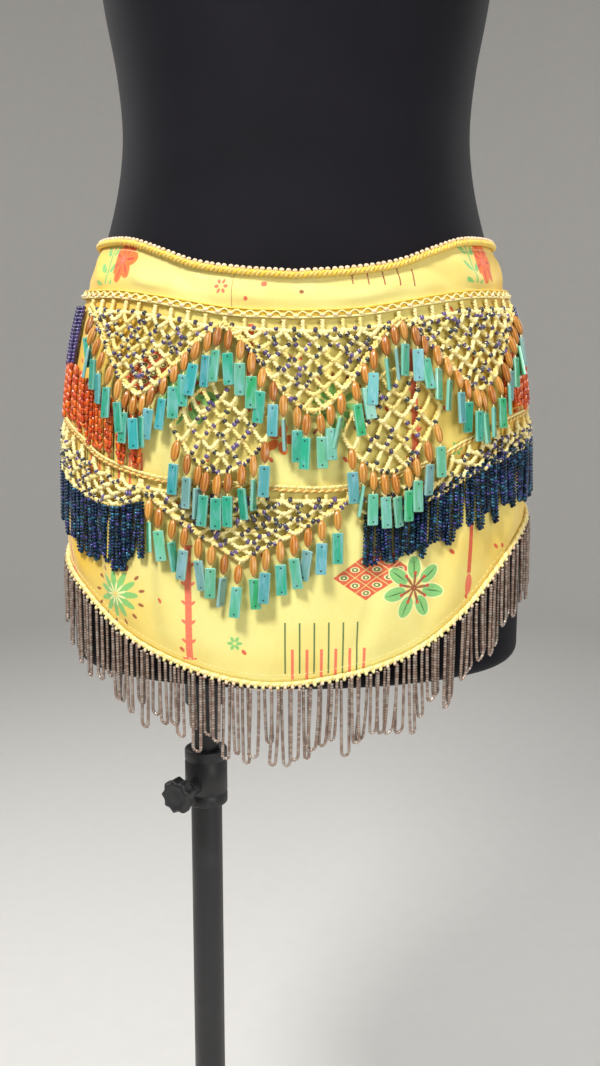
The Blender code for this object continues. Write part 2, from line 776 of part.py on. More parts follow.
def build_lace(form):
    reach = UPPER_NET_POINT
    cells = [cell for middle in (-2 * reach, 0, 2 * reach) for cell in point_cells(reach, middle)]
    net("lace_upper", "crochet_lace", cells, header_bars(-3 * reach, 3 * reach),
        hung_lattice(UPPER_NET_CENTRE, UPPER_NET_HALF_PITCH, upper_level,
                     band_seam, BAND_TRIM_HALF + NET_TO_TRIM), UPPER_NET_OPENING, form)

    diamond = []
    for j in range(1 - DIAMOND_POINT, DIAMOND_POINT):
        span = DIAMOND_POINT - 1 - abs(j)
        for i in range(-span, span + 1, 2):
            diamond.append([(i, j - 1), (i - 1, j), (i, j + 1), (i + 1, j)])
    for name, along, height, level, tilt in DIAMONDS:
        def lattice(i, j):
            aside = i * DIAMOND_HALF_PITCH
            rows = max(DIAMOND_POINT - abs(i), 1)
            drop = j / rows * diamond_share(aside) * DIAMOND_POINT * level
            return along + aside, height + tilt * aside - drop
        net(name, "crochet_lace", diamond, [], lattice, DIAMOND_OPENING, form)

    reach = LOW_NET_POINT
    net("lace_low_point", "crochet_lace", point_cells(reach), header_bars(-reach, reach),
        hung_lattice(LOW_NET_CENTRE, LOW_NET_HALF_PITCH, lambda along: LOW_NET_LEVEL,
                     low_line, LOW_TRIM_HALF + NET_TO_TRIM), LOW_NET_OPENING, form)
    border_net("lace_low_left", LEFT_NET_START, LEFT_NET_CELLS, LEFT_NET_ROWS, swag_depth, form)
    border_net("lace_low_right", RIGHT_NET_START, RIGHT_NET_CELLS, RIGHT_NET_ROWS,
               lambda along: RIGHT_NET_DEPTH, form)


def spots_about(centre, count, pitch):
    return [centre + (k - (count - 1) / 2) * pitch for k in range(count)]


def build_drops(form):
    strand_strip("drops_upper", "bead_drops", upper_edge,
                 spots_about(UPPER_NET_CENTRE, UPPER_DROPS, UPPER_DROP_PITCH),
                 DROP_ROOT_HALF, OVERLAY_OUT, DROP_SECTIONS, form)
    for name, centre, height, level, tilt in DIAMONDS:
        def diamond_edge(along):
            aside = along - centre
            return height + tilt * aside - diamond_share(aside) * DIAMOND_POINT * level
        strand_strip(name.replace("lace", "drops"), "bead_drops", diamond_edge,
                     spots_about(centre, DIAMOND_DROPS, DIAMOND_DROP_PITCH),
                     DROP_ROOT_HALF, OVERLAY_OUT, DROP_SECTIONS, form)
    strand_strip("drops_low", "bead_drops", low_edge,
                 spots_about(LOW_NET_CENTRE, LOW_DROPS, LOW_DROP_PITCH),
                 DROP_ROOT_HALF, OVERLAY_OUT, DROP_SECTIONS, form)


def build_fringes(form):
    layers = {"lace": LACE_OUT, "overlay": OVERLAY_OUT}
    hung_from = ((SWAG_FRINGES, swag_edge), (LOW_FRINGES, low_line),
                 (PURPLE_FRINGES, band_seam),
                 (ORANGE_FRINGES, lambda along: low_line(along) + ORANGE_ABOVE_LOW_LINE))
    for fringes, line in hung_from:
        for name, finish, start, end, strands, length, below, layer in fringes:
            out = layers[layer]
            sections = ((length, FRINGE_HALF, out, out + OVERLAY_THICK),)
            spots = steps_along(start, end, (end - start) / (strands - 1))
            strand_strip(name, finish, lambda along: line(along) - below, spots,
                         FRINGE_HALF, out, sections, form)
    below_cord = 2 * EDGE_CORD_RADIUS + HEM_STRIP_GAP
    start = TRIM_START + HEM_FRINGE_INSET
    end = BELT_END - HEM_FRINGE_INSET
    spots = steps_along(start, end, (end - start) / (HEM_STRANDS - 1))
    sections = ((HEM_STRAND_LENGTH, HEM_STRAND_HALF, HEM_STRIP_OUT, HEM_STRIP_OUT + OVERLAY_THICK),)
    strand_strip("hem_fringe", "bronze_beads", lambda along: hem(along) - below_cord, spots,
                 HEM_STRAND_HALF, HEM_STRIP_OUT, sections, form)


def main():
    for thing in list(bpy.data.objects):
        bpy.data.objects.remove(thing, do_unlink=True)
    stand = empty("stand_origin", (0, 0, 0))
    post = empty("post_slide_axis", (POLE_X, POLE_Y, LOWER_TUBE_TOP), stand)
    form = empty("form_swivel_axis", (POLE_X, POLE_Y, HUB_FOOT), post)
    knob = empty("knob_axis", knob_frame() @ Vector((0, 0, BOSS_END)), stand)
    build_stand(stand, post, knob)
    build_form(form)
    build_cloth(form)
    build_trims(form)
    build_lace(form)
    build_drops(form)
    build_fringes(form)


main()
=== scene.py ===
"""Looks of the belly dance hip belt, its dress form and its stand.

Metres, +Z up, the belt's front towards -Y.  A point of the belt is placed as in
the solids, by three sizes: "along", the way round the hips from the centre
front (+ towards +X), its height, and "out", its distance from the form.
"""
import math
from collections import namedtuple

import bpy
import numpy as np
from mathutils import Matrix, Vector


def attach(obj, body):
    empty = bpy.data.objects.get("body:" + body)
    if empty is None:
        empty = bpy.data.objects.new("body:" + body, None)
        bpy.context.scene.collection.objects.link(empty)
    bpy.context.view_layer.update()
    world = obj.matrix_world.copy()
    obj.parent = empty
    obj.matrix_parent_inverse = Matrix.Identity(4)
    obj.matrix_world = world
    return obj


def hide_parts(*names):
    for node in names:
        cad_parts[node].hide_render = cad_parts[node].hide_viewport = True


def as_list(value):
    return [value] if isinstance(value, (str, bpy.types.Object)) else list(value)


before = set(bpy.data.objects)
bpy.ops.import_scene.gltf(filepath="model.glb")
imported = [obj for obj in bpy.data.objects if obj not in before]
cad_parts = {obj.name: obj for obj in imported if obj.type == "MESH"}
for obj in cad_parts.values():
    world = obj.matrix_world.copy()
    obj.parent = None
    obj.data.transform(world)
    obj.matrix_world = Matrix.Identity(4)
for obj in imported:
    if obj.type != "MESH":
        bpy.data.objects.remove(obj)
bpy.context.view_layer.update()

MM = 0.001
SEED = 20
random = np.random.default_rng(SEED)

# ------------------------------------------------------------------- camera
PHOTO_HEIGHT = 1066
FOCAL_PIXELS = 1000
SENSOR = 36.0
CAMERA_PLACE = (0.0027, -0.753, 0.900)
CAMERA_DOWN = math.radians(8)

# ------------------------------------------------------------------ studio
FLOOR_RADIUS = 3.2
WALL_BEND = 1.8
WALL_TOP = 6.5
WALL_SIDES = 96
HIPS = (0.0, 0.0, 0.86)
BACK = (0, 0, 1.0)
WARM_WHITE = (1.0, 0.985, 0.95)
SOFT_WHITE = (1.0, 0.98, 0.95)
WHITE = (1, 1, 1)
WORLD_LIGHT = 0.16
# Lights: name, place, target, size, power in watts and colour.
LIGHTS = (
    ("key", (-0.55, -1.05, 2.25), HIPS, 0.42, 37, WARM_WHITE),
    ("fill", (1.15, -1.60, 1.35), HIPS, 1.0, 16, SOFT_WHITE),
    ("rim_left", (-1.6, 0.9, 1.7), BACK, 0.9, 12, WHITE),
    ("rim_right", (1.7, 1.1, 1.6), BACK, 0.9, 10, WHITE),
    ("overhead", (0, 0, 4.4), (0, 0, 0), 2.6, 48, WHITE),
)

# --------------------------------------------------------------- dress form
FORM_COLUMNS = ("height", "half_width", "front", "back")
FORM_LEVELS = (
    (0.700, 0.168, 0.106, 0.122),
    (0.840, 0.168, 0.106, 0.127),
    (0.900, 0.165, 0.106, 0.124),
    (0.950, 0.156, 0.104, 0.117),
    (1.000, 0.139, 0.100, 0.108),
    (1.045, 0.1275, 0.096, 0.099),
    (1.080, 0.124, 0.095, 0.094),
    (1.120, 0.127, 0.097, 0.092),
    (1.160, 0.134, 0.100, 0.094),
    (1.220, 0.143, 0.108, 0.100),
    (1.300, 0.156, 0.117, 0.106),
    (1.370, 0.167, 0.108, 0.103),
    (1.420, 0.164, 0.087, 0.090),
    (1.460, 0.128, 0.068, 0.072),
    (1.485, 0.080, 0.056, 0.060),
    (1.510, 0.060, 0.051, 0.054),
    (1.560, 0.056, 0.050, 0.052),
)
FORM_BOTTOM = 0.700
FORM_TOP = 1.560
FORM_EDGE_RISE = 13 * MM
FORM_EDGE_INSET = 14 * MM
FORM_SIDES = 120
FORM_EDGE_ROWS = 7
# Shares of an end's width where its rings lie, from the middle outwards.
FORM_END_RINGS = (0.03, 0.5, 0.9)
FORM_STEP = 9 * MM
HIP_HEIGHT = 0.840

# ------------------------------------------------------------------- stand
POLE_X = -0.073
POLE_Y = 0.020
KNOB_HEIGHT = 0.590
KNOB_TURN = math.radians(30)
KNOB_START = 24.3 * MM
KNOB_LOBES = 9
# Radius at which a solid turned shape closes on its axis.
AXIS = 0.3 * MM
BASE_RADIUS = 0.200
BASE_THICK = 8 * MM
# Tubes: node, body, radius, bore's radius, foot and head.
TUBES = (
    ("lower_tube", "stand", 12.5 * MM, 11.2 * MM, 8.3 * MM, 0.600),
    ("upper_tube", "post", 10.5 * MM, 9.2 * MM, 0.300, 0.6954),
)
COLLAR_RADIUS = 17 * MM
COLLAR_GROOVE = 0.8 * MM
SCREW_CIRCLE = 28 * MM
# Turned profiles, in millimetres: radius, and way along the axis.
WASHER_PROFILE = ((13, 8.1), (19, 8.1), (19, 9.6), (17.5, 10.6), (13, 10.8))
KNOB_PROFILE = ((0.3, 0), (3, 0), (3, 5), (8, 6), (12.4, 6.8), (13.6, 8), (14, 10), (14, 15),
                (13.4, 17), (12, 18), (9, 18.3), (8.4, 17.6), (4, 17.8), (0.3, 18.2))
SCREW_PROFILE = ((0.3, 0.6), (1.4, 0.6), (1.6, 0), (3.2, 0.3), (3.8, 2.2), (0.3, 2.3))

# -------------------------------------------------------------------- cloth
CLOTH_MIDDLE = 1.5 * MM
CLOTH_THICK = 0.9 * MM
LAP = 40 * MM
LAP_RISE = 60 * MM
LAP_LIFT = 2.0 * MM
SEAM_GAP = 0.3 * MM
LOOSE_LIFT = 1.6 * MM
CLOTH_STEP = 3.0 * MM
SKIRT_ROWS = 64
BAND_ROWS = 14

EDGE_COLUMNS = ("along", "top_edge", "band_seam")
EDGES = (
    (0.000, 0.971, 0.949),
    (0.043, 0.974, 0.951),
    (0.075, 0.979, 0.956),
    (0.105, 0.988, 0.961),
    (0.135, 0.996, 0.965),
    (0.165, 0.999, 0.967),
    (0.231, 1.001, 0.971),
    (0.330, 1.003, 0.974),
    (0.460, 1.004, 0.975),
)
HEM_COLUMNS = ("along", "hem")
HEM = (
    (-0.451, 0.856),
    (-0.390, 0.849),
    (-0.330, 0.830),
    (-0.260, 0.803),
    (-0.210, 0.785),
    (-0.165, 0.766),
    (-0.140, 0.751),
    (-0.115, 0.736),
    (-0.085, 0.724),
    (-0.045, 0.713),
    (-0.015, 0.710),
    (0.015, 0.713),
    (0.060, 0.723),
    (0.090, 0.736),
    (0.120, 0.757),
    (0.150, 0.783),
    (0.175, 0.801),
    (0.205, 0.814),
    (0.250, 0.825),
    (0.330, 0.840),
    (0.390, 0.851),
    (0.451, 0.856),
)
LOW_LINE_COLUMNS = ("along", "height")
LOW_LINE = (
    (-0.270, 0.891),
    (-0.202, 0.884),
    (-0.161, 0.869),
    (-0.140, 0.857),
    (-0.115, 0.849),
    (-0.086, 0.843),
    (-0.042, 0.841),
    (0.031, 0.839),
    (0.084, 0.853),
    (0.124, 0.871),
    (0.169, 0.884),
    (0.270, 0.892),
)
# Depth of the left side net, which hangs as a swag.
SWAG_COLUMNS = ("along", "depth")
SWAG = (
    (-0.270, 13 * MM),
    (-0.222, 25 * MM),
    (-0.188, 37 * MM),
    (-0.160, 36 * MM),
    (-0.141, 31 * MM),
    (-0.121, 26 * MM),
    (-0.105, 18 * MM),
    (-0.080, 12 * MM),
)

# Soft ridges (depth above 0) and troughs (below 0), each from a top to a foot:
# along, height, foot's along, foot's height, half width and depth.
SKIRT_CREASES = (
    (0.053, 0.790, 0.036, 0.724, 5 * MM, -1.9 * MM),
    (0.068, 0.796, 0.058, 0.732, 11 * MM, 2.2 * MM),
    (0.014, 0.806, 0.004, 0.722, 14 * MM, 1.5 * MM),
    (-0.022, 0.796, -0.036, 0.716, 8 * MM, -1.6 * MM),
    (-0.052, 0.776, -0.060, 0.722, 9 * MM, 1.3 * MM),
    (-0.090, 0.812, -0.080, 0.730, 8 * MM, 2.2 * MM),
    (-0.106, 0.818, -0.098, 0.738, 6 * MM, -1.9 * MM),
    (-0.138, 0.832, -0.116, 0.746, 9 * MM, 2.9 * MM),
    (-0.158, 0.826, -0.140, 0.764, 5 * MM, -1.8 * MM),
    (-0.178, 0.844, -0.162, 0.772, 8 * MM, 2.7 * MM),
    (-0.206, 0.846, -0.196, 0.789, 7 * MM, -1.7 * MM),
    (-0.232, 0.860, -0.222, 0.796, 9 * MM, 2.6 * MM),
    (0.098, 0.824, 0.086, 0.742, 6 * MM, -1.8 * MM),
    (0.126, 0.846, 0.108, 0.760, 10 * MM, 2.6 * MM),
    (0.150, 0.852, 0.138, 0.784, 6 * MM, -2.0 * MM),
    (0.178, 0.868, 0.160, 0.798, 9 * MM, 3.0 * MM),
    (0.202, 0.868, 0.192, 0.814, 6 * MM, -1.6 * MM),
    (0.226, 0.880, 0.214, 0.820, 8 * MM, 2.4 * MM),
    (0.258, 0.888, 0.248, 0.832, 9 * MM, -1.8 * MM),
    (0.284, 0.946, 0.268, 0.836, 11 * MM, 3.1 * MM),
    (0.312, 0.930, 0.302, 0.844, 7 * MM, -1.9 * MM),
    (0.340, 0.966, 0.322, 0.848, 10 * MM, 2.8 * MM),
    (0.362, 0.912, 0.356, 0.856, 7 * MM, -1.6 * MM),
    (0.388, 0.960, 0.378, 0.856, 10 * MM, 2.4 * MM),
    (0.416, 0.934, 0.410, 0.872, 7 * MM, 1.5 * MM),
    (-0.262, 0.868, -0.256, 0.810, 7 * MM, -1.6 * MM),
    (-0.290, 0.958, -0.276, 0.816, 11 * MM, 3.0 * MM),
    (-0.316, 0.926, -0.308, 0.832, 6 * MM, -1.8 * MM),
    (-0.344, 0.964, -0.328, 0.844, 11 * MM, 2.7 * MM),
    (-0.374, 0.938, -0.368, 0.858, 7 * MM, -1.8 * MM),
    (-0.400, 0.958, -0.392, 0.866, 9 * MM, 2.0 * MM),
)
BAND_CREASES = (
    (-0.126, 0.990, -0.068, 0.964, 4.5 * MM, -1.5 * MM),
    (-0.130, 0.980, -0.100, 0.968, 4.0 * MM, 1.7 * MM),
    (-0.060, 0.978, -0.024, 0.958, 4.0 * MM, 1.0 * MM),
    (-0.026, 0.968, 0.034, 0.966, 4.0 * MM, -1.2 * MM),
    (0.030, 0.958, 0.080, 0.974, 5.5 * MM, 1.3 * MM),
    (0.090, 0.984, 0.122, 0.968, 4.5 * MM, -1.5 * MM),
    (0.124, 0.990, 0.152, 0.972, 5.5 * MM, 2.1 * MM),
    (0.176, 0.996, 0.168, 0.974, 4.0 * MM, -1.3 * MM),
    (0.216, 0.997, 0.190, 0.978, 5.5 * MM, 1.8 * MM),
    (0.262, 0.999, 0.240, 0.980, 5.0 * MM, -1.5 * MM),
    (0.306, 0.999, 0.292, 0.982, 6.5 * MM, 2.0 * MM),
    (0.350, 1.000, 0.330, 0.982, 5.0 * MM, -1.4 * MM),
    (0.386, 1.000, 0.374, 0.984, 6.5 * MM, 1.7 * MM),
    (-0.184, 0.997, -0.162, 0.974, 5.0 * MM, 2.2 * MM),
    (-0.226, 0.998, -0.206, 0.978, 5.0 * MM, -1.5 * MM),
    (-0.276, 0.999, -0.256, 0.980, 6.5 * MM, 2.0 * MM),
    (-0.322, 0.999, -0.310, 0.982, 5.0 * MM, -1.4 * MM),
    (-0.366, 0.999, -0.346, 0.983, 6.5 * MM, 1.8 * MM),
    (-0.408, 1.000, -0.398, 0.985, 5.5 * MM, 1.2 * MM),
)
BAND_JOIN = -0.044
# Waves: share of WAVE_HEIGHT, turns in radians a metre round and up, and start.
WAVE_HEIGHT = 0.24 * MM
WAVES = ((1, 93, 31, 0), (1, 41, -77, 1.7), (0.7, 187, 59, 0.4), (0.4, 71, 233, 2.1))

# ------------------------------------------------------- trims, lace, drops
LACE_OUT = 4.3 * MM
# Places on each half of an arch where a seed bead may sit, and how often one does.
SEED_REACHES = (0.25, 0.60)
SEED_SHARE = 0.38
KNOT_SHIFT = 0.45 * MM
EDGE_CORD_OUT = 4.2 * MM
TRIM_DROP = 2.3 * MM
EDGE_TUCK = 2.4 * MM
BAND_TRIM_HALF = 3.0 * MM
LOW_TRIM_HALF = 2.5 * MM
LOW_TRIM_ENDS = (-0.266, 0.247)
NET_TO_TRIM = 0.8 * MM
# Depth of the lace where its points end.
LEAST_DEPTH = 4 * MM

UPPER_CENTRE = 0.011
UPPER_HALF = 58.5 * MM
UPPER_DEPTH = 58 * MM
UPPER_WINDOW = 7.0 * MM
UPPER_ROWS = 9
# How rounded the points of the upper lace are: 0 is a zigzag and 1 is a wave.
UPPER_ROUNDNESS = 0.65
# Lace diamonds: side, middle along and up, half height and tilt.
DIAMONDS = (
    ("left", -0.047, 0.8785, 30 * MM, 0.0),
    ("right", 0.0620, 0.8820, 32.4 * MM, 0.28),
)
DIAMOND_HALF = 33 * MM
DIAMOND_ROWS = 5
# Power of the curve that the diamonds' edges follow: 1 is straight.
DIAMOND_BULGE = 1.8
LOW_CENTRE = -0.035
LOW_HALF = 67.8 * MM
LOW_DEPTH = 46 * MM
LOW_WINDOW = 5.0 * MM
LOW_ROWS = 10
# Side nets: side, start along, cells, half a cell's width, and rows of arches.
SIDE_NETS = (("left", -0.266, 12, 6.71 * MM, 5), ("right", 0.040, 16, 6.47 * MM, 4))
RIGHT_NET_DEPTH = 24.0 * MM
SIDE_WINDOW = 4.0 * MM

UPPER_DROPS = 48
UPPER_DROP_PITCH = 7.1 * MM
DIAMOND_DROPS = 9
DIAMOND_DROP_PITCH = 7.0 * MM
LOW_DROPS = 15
LOW_DROP_PITCH = 8.6 * MM
DROP_OUT = 8.9 * MM
WHEAT_LENGTH = 13.6 * MM
WHEAT_RADIUS = 2.95 * MM
WHEAT_FLUTES = 6
WHEAT_FLUTE_DEPTH = 0.22
WHEAT_FLATNESS = 0.86
WHEAT_ROWS = 11
WHEAT_SIDES = 24
PLATE_WIDTH = 7.2 * MM
PLATE_HEIGHT = 20.4 * MM
PLATE_THICK = 2.0 * MM
PLATE_BEVEL = 0.45 * MM
# Shares of a tablet's width and thickness that are left at its two ends.
PLATE_END = (0.86, 0.55)
DROP_FALL = 38 * MM
# Down a drop: its root, the carved bead's middle and foot, and the tablet's
# hole and foot, each with how far out it hangs.
DROP_MARKS = np.array((0.0, 8.4, 16.6, 17.8, 36.8)) * MM
DROP_OUTS = np.array((5.6, 8.2, 8.9, 9.0, 9.0)) * MM
EDGE_ON_SHARE = 0.14
# Diamonds' drops hang clear of the blue fringe, and every other drop in front.
DIAMOND_DROP_LIFT = 1.6 * MM
EVERY_OTHER_LIFT = 0.9 * MM

# Colours, linear: the share of red, green and blue light sent back.
# LACE_SHADE is painted shade: the share of the cloth's colour kept behind the lace, as in the lace's
# shadow.
LACE_SHADE = (0.93, 0.90, 0.80)
YARN_YELLOW = (0.90, 0.62, 0.060)
# Gold-brown ply of the low trim: painted shadow of the drops that hang over it.
YARN_GOLD_PAINTED_SHADOW = (0.56, 0.25, 0.030)
YARN_CREAM = (0.96, 0.85, 0.40)
YARN_EDGE = (0.88, 0.70, 0.22)
YARN_PINK = (0.90, 0.68, 0.47)
YARN_SOFT = (0.92, 0.76, 0.27)
CORD_COLOURS = (YARN_CREAM, YARN_CREAM, YARN_CREAM, YARN_SOFT)
SHELL_COLOURS = (
    (0.024, 0.320, 0.330),
    (0.028, 0.390, 0.130),
    (0.120, 0.440, 0.250),
    (0.150, 0.330, 0.310),
    (0.020, 0.370, 0.220),
    (0.032, 0.350, 0.220),
    (0.090, 0.420, 0.260),
    (0.085, 0.330, 0.350),
)
WHEAT_COLOURS = (
    (0.46, 0.160, 0.018),
    (0.52, 0.210, 0.030),
    (0.36, 0.110, 0.012),
    (0.58, 0.270, 0.050),
)
SEED_COLOURS = (
    (0.012, 0.010, 0.018),
    (0.035, 0.020, 0.080),
    (0.014, 0.026, 0.030),
    (0.110, 0.070, 0.230),
    (0.022, 0.014, 0.036),
    (0.060, 0.036, 0.140),
)
IRIS_COLOURS = (
    (0.001, 0.005, 0.024),
    (0.001, 0.014, 0.022),
    (0.010, 0.004, 0.034),
    (0.001, 0.003, 0.008),
    (0.002, 0.008, 0.042),
    (0.001, 0.012, 0.010),
    # The last two, lighter beads, are painted highlights that stand in for glints.
    (0.030, 0.130, 0.200),
    (0.060, 0.050, 0.220),
)
VIOLET_COLOURS = (
    (0.014, 0.008, 0.130),
    (0.040, 0.012, 0.170),
    (0.008, 0.006, 0.070),
)
FLAME_COLOURS = (
    (0.52, 0.035, 0.002),
    (0.66, 0.075, 0.003),
    (0.34, 0.016, 0.002),
    (0.74, 0.130, 0.005),
)
BRONZE_COLOURS = (
    (0.52, 0.37, 0.29),
    (0.62, 0.48, 0.39),
    (0.42, 0.29, 0.23),
    (0.58, 0.50, 0.43),
    (0.38, 0.24, 0.18),
)


# ------------------------------------------------------------- measurements
def smooth_curve(rows, columns, place, value):
    """Smooth curve of one column of a table over another, level past its ends."""
    places = np.array([row[columns.index(place)] for row in rows])
    values = np.array([row[columns.index(value)] for row in rows])
    spans = np.diff(places)
    steps = np.diff(values) / spans
    slopes = np.concatenate((steps[:1], (steps[:-1] + steps[1:]) / 2, steps[-1:]))

    def value_at(where):
        where = np.clip(where, places[0], places[-1])
        i = np.clip(np.searchsorted(places, where, side="right") - 1, 0, len(spans) - 1)
        t = (where - places[i]) / spans[i]
        start = (1 + 2 * t) * (1 - t) ** 2 * values[i] + t * (1 - t) ** 2 * spans[i] * slopes[i]
        end = t * t * (3 - 2 * t) * values[i + 1] + t * t * (t - 1) * spans[i] * slopes[i + 1]
        return start + end

    return value_at


half_width_at = smooth_curve(FORM_LEVELS, FORM_COLUMNS, "height", "half_width")
front_at = smooth_curve(FORM_LEVELS, FORM_COLUMNS, "height", "front")
back_at = smooth_curve(FORM_LEVELS, FORM_COLUMNS, "height", "back")
edge_top = smooth_curve(EDGES, EDGE_COLUMNS, "along", "top_edge")
edge_seam = smooth_curve(EDGES, EDGE_COLUMNS, "along", "band_seam")
edge_hem = smooth_curve(HEM, HEM_COLUMNS, "along", "hem")
low_line = smooth_curve(LOW_LINE, LOW_LINE_COLUMNS, "along", "height")
swag_depth = smooth_curve(SWAG, SWAG_COLUMNS, "along", "depth")


def form_points(angle, height, out):
    """Points at angles from the front, "out" from the form's surface."""
    depth = np.where(np.cos(angle) >= 0, front_at(height), back_at(height)) + out
    wide = half_width_at(height) + out
    return np.stack((wide * np.sin(angle), -depth * np.cos(angle), height + 0 * angle), axis=-1)


def lengths_along(points):
    """Length of a line from its start to each of its points."""
    steps = np.linalg.norm(np.diff(points, axis=0), axis=1)
    return np.concatenate(([0.0], np.cumsum(steps)))


GIRTH_SAMPLES = 721
girth_angles = np.linspace(0, math.pi, GIRTH_SAMPLES)
girth_points = form_points(girth_angles, HIP_HEIGHT, 0.0)
girth_lengths = lengths_along(girth_points)
HALF_GIRTH = float(girth_lengths[-1])
BELT_START = -HALF_GIRTH
BELT_END = HALF_GIRTH + LAP
TRIM_START = BELT_START + LAP + 2 * MM


def smooth_step(value, low, high):
    t = np.clip((value - low) / (high - low), 0, 1)
    return t * t * (3 - 2 * t)


def folded(along):
    """Distance from the centre front, counted back again past the centre back."""
    return HALF_GIRTH - np.abs(HALF_GIRTH - np.abs(along))


def place(along, height, out):
    """Points of the belt, from their three sizes."""
    along, height, out = np.broadcast_arrays(
        np.asarray(along, float), np.asarray(height, float), np.asarray(out, float))
    angle = np.interp(folded(along), girth_lengths, girth_angles)
    angle = np.where(np.abs(along) > HALF_GIRTH, 2 * math.pi - angle, angle)
    lift = LAP_LIFT * smooth_step(along, HALF_GIRTH - LAP_RISE, HALF_GIRTH)
    return form_points(np.copysign(angle, along), height, out + lift)


def top_edge(along):
    return edge_top(folded(along))


def band_seam(along):
    return edge_seam(folded(along))


def hem(along):
    """Past the centre back, the lap follows the hem of the end that it covers."""
    return edge_hem(np.where(along > HALF_GIRTH, along - 2 * HALF_GIRTH, along))


def upper_turns(along):
    """Share of the way from the nearest point of the upper lace to its end."""
    turns = np.abs((along - UPPER_CENTRE) / UPPER_HALF)
    return np.abs((turns + 1) % 2 - 1)


def upper_share(turns):
    """Share of a point's depth that is left, on a softly rounded line."""
    wave = (1 + np.cos(math.pi * turns)) / 2
    return UPPER_ROUNDNESS * wave + (1 - UPPER_ROUNDNESS) * (1 - turns)


def upper_top(along):
    """Line that the upper lace hangs from, below the band's trim."""
    return band_seam(along) - BAND_TRIM_HALF - NET_TO_TRIM


def upper_edge(along):
    """Lower edge of the upper lace: three rounded points."""
    share = upper_share(upper_turns(along))
    return upper_top(along) - (LEAST_DEPTH + share * (UPPER_DEPTH - LEAST_DEPTH))


def low_top(along):
    """Line that the lower lace hangs from, below the low trim."""
    return low_line(along) - LOW_TRIM_HALF - NET_TO_TRIM


def low_edge(along):
    """Lower edge of the lace point in the lower row."""
    share = 1 - np.minimum(np.abs(along - LOW_CENTRE) / LOW_HALF, 1)
    return low_top(along) - (LEAST_DEPTH + share * (LOW_DEPTH - LEAST_DEPTH))


def diamond_share(aside):
    """Share of a diamond's half height that is left, away from its middle."""
    return 1 - np.minimum(np.abs(aside) / DIAMOND_HALF, 1) ** DIAMOND_BULGE


def diamond_edge(diamond, lower):
    """Lower or upper edge of a lace diamond."""
    _, centre, height, rise, tilt = diamond

    def edge(along):
        aside = along - centre
        return height + tilt * aside + (-1 if lower else 1) * diamond_share(aside) * rise

    return edge


def side_net_edge(side):
    """Lower edge of a side net."""
    if side == "left":
        return lambda along: low_line(along) - swag_depth(along)
    return lambda along: low_line(along) - RIGHT_NET_DEPTH


def steps_along(start, end, step):
    return np.linspace(start, end, max(2, round((end - start) / step) + 1))


# --------------------------------------------------------------- materials
class Shade:
    """A material, with short names for wiring its nodes."""

    def __init__(self, name, colour=(0.5, 0.5, 0.5), **sockets):
        self.material = bpy.data.materials.new(name)
        self.material.use_nodes = True
        self.tree = self.material.node_tree
        self.surface = self.tree.nodes["Principled BSDF"]
        self.set("Base Color", (*colour, 1.0))
        for socket, value in sockets.items():
            self.set(socket.replace("_", " "), value)

    def set(self, socket, value):
        self.put(self.surface.inputs[socket], value)

    def put(self, socket, value):
        if isinstance(value, bpy.types.NodeSocket):
            self.tree.links.new(value, socket)
        else:
            socket.default_value = value

    def node(self, kind, *values, output=0, **settings):
        node = self.tree.nodes.new(kind)
        for key, value in settings.items():
            setattr(node, key, value)
        for socket, value in zip(node.inputs, values):
            if value is not None:
                self.put(socket, value)
        return node.outputs[output]

    def math(self, operation, *values, clamp=False):
        return self.node("ShaderNodeMath", *values, operation=operation, use_clamp=clamp)

    def mix(self, factor, first, second, blend="MIX"):
        node = self.tree.nodes.new("ShaderNodeMix")
        node.data_type = "RGBA"
        node.blend_type = blend
        for index, value in ((0, factor), (6, first), (7, second)):
            if isinstance(value, tuple):
                value = (*value, 1.0)
            self.put(node.inputs[index], value)
        return node.outputs[2]

    def plus(self, first, second, clamp=False):
        return self.math("ADD", first, second, clamp=clamp)

    def minus(self, first, second, clamp=False):
        return self.math("SUBTRACT", first, second, clamp=clamp)

    def times(self, first, second):
        return self.math("MULTIPLY", first, second)

    def size(self, value):
        """The value without its sign."""
        return self.math("ABSOLUTE", value)

    def about_zero(self, value, half):
        """The value wrapped into the span from -half to half."""
        return self.math("WRAP", value, half, -half)

    def far(self, x, y):
        """Distance of a place from the middle."""
        return self.math("SQRT", self.plus(self.times(x, x), self.times(y, y)))

    def noise(self, vector, scale, detail=2.0, roughness=0.5):
        node = self.tree.nodes.new("ShaderNodeTexNoise")
        self.put(node.inputs["Vector"], vector)
        node.inputs["Scale"].default_value = scale
        node.inputs["Detail"].default_value = detail
        node.inputs["Roughness"].default_value = roughness
        return node.outputs["Fac"]

    def stretch(self, value, low, high, new_low=0.0, new_high=1.0):
        return self.node("ShaderNodeMapRange", value, low, high, new_low, new_high)

    def veil(self, base, colour, value, low, high, share=1.0):
        """Lays a colour over the base where a value is high, up to a share."""
        return self.mix(self.stretch(value, low, high, 0.0, share), base, colour)

    def scaled(self, vector, scale):
        return self.node("ShaderNodeMapping", vector, None, None, scale)

    def position(self):
        return self.node("ShaderNodeTexCoord", output=3)

    def attribute(self, name, output=0):
        return self.node("ShaderNodeAttribute", output=output, attribute_name=name)

    def bump(self, height, strength, distance):
        node = self.tree.nodes.new("ShaderNodeBump")
        node.inputs["Strength"].default_value = strength
        node.inputs["Distance"].default_value = distance
        self.put(node.inputs["Height"], height)
        self.set("Normal", node.outputs["Normal"])


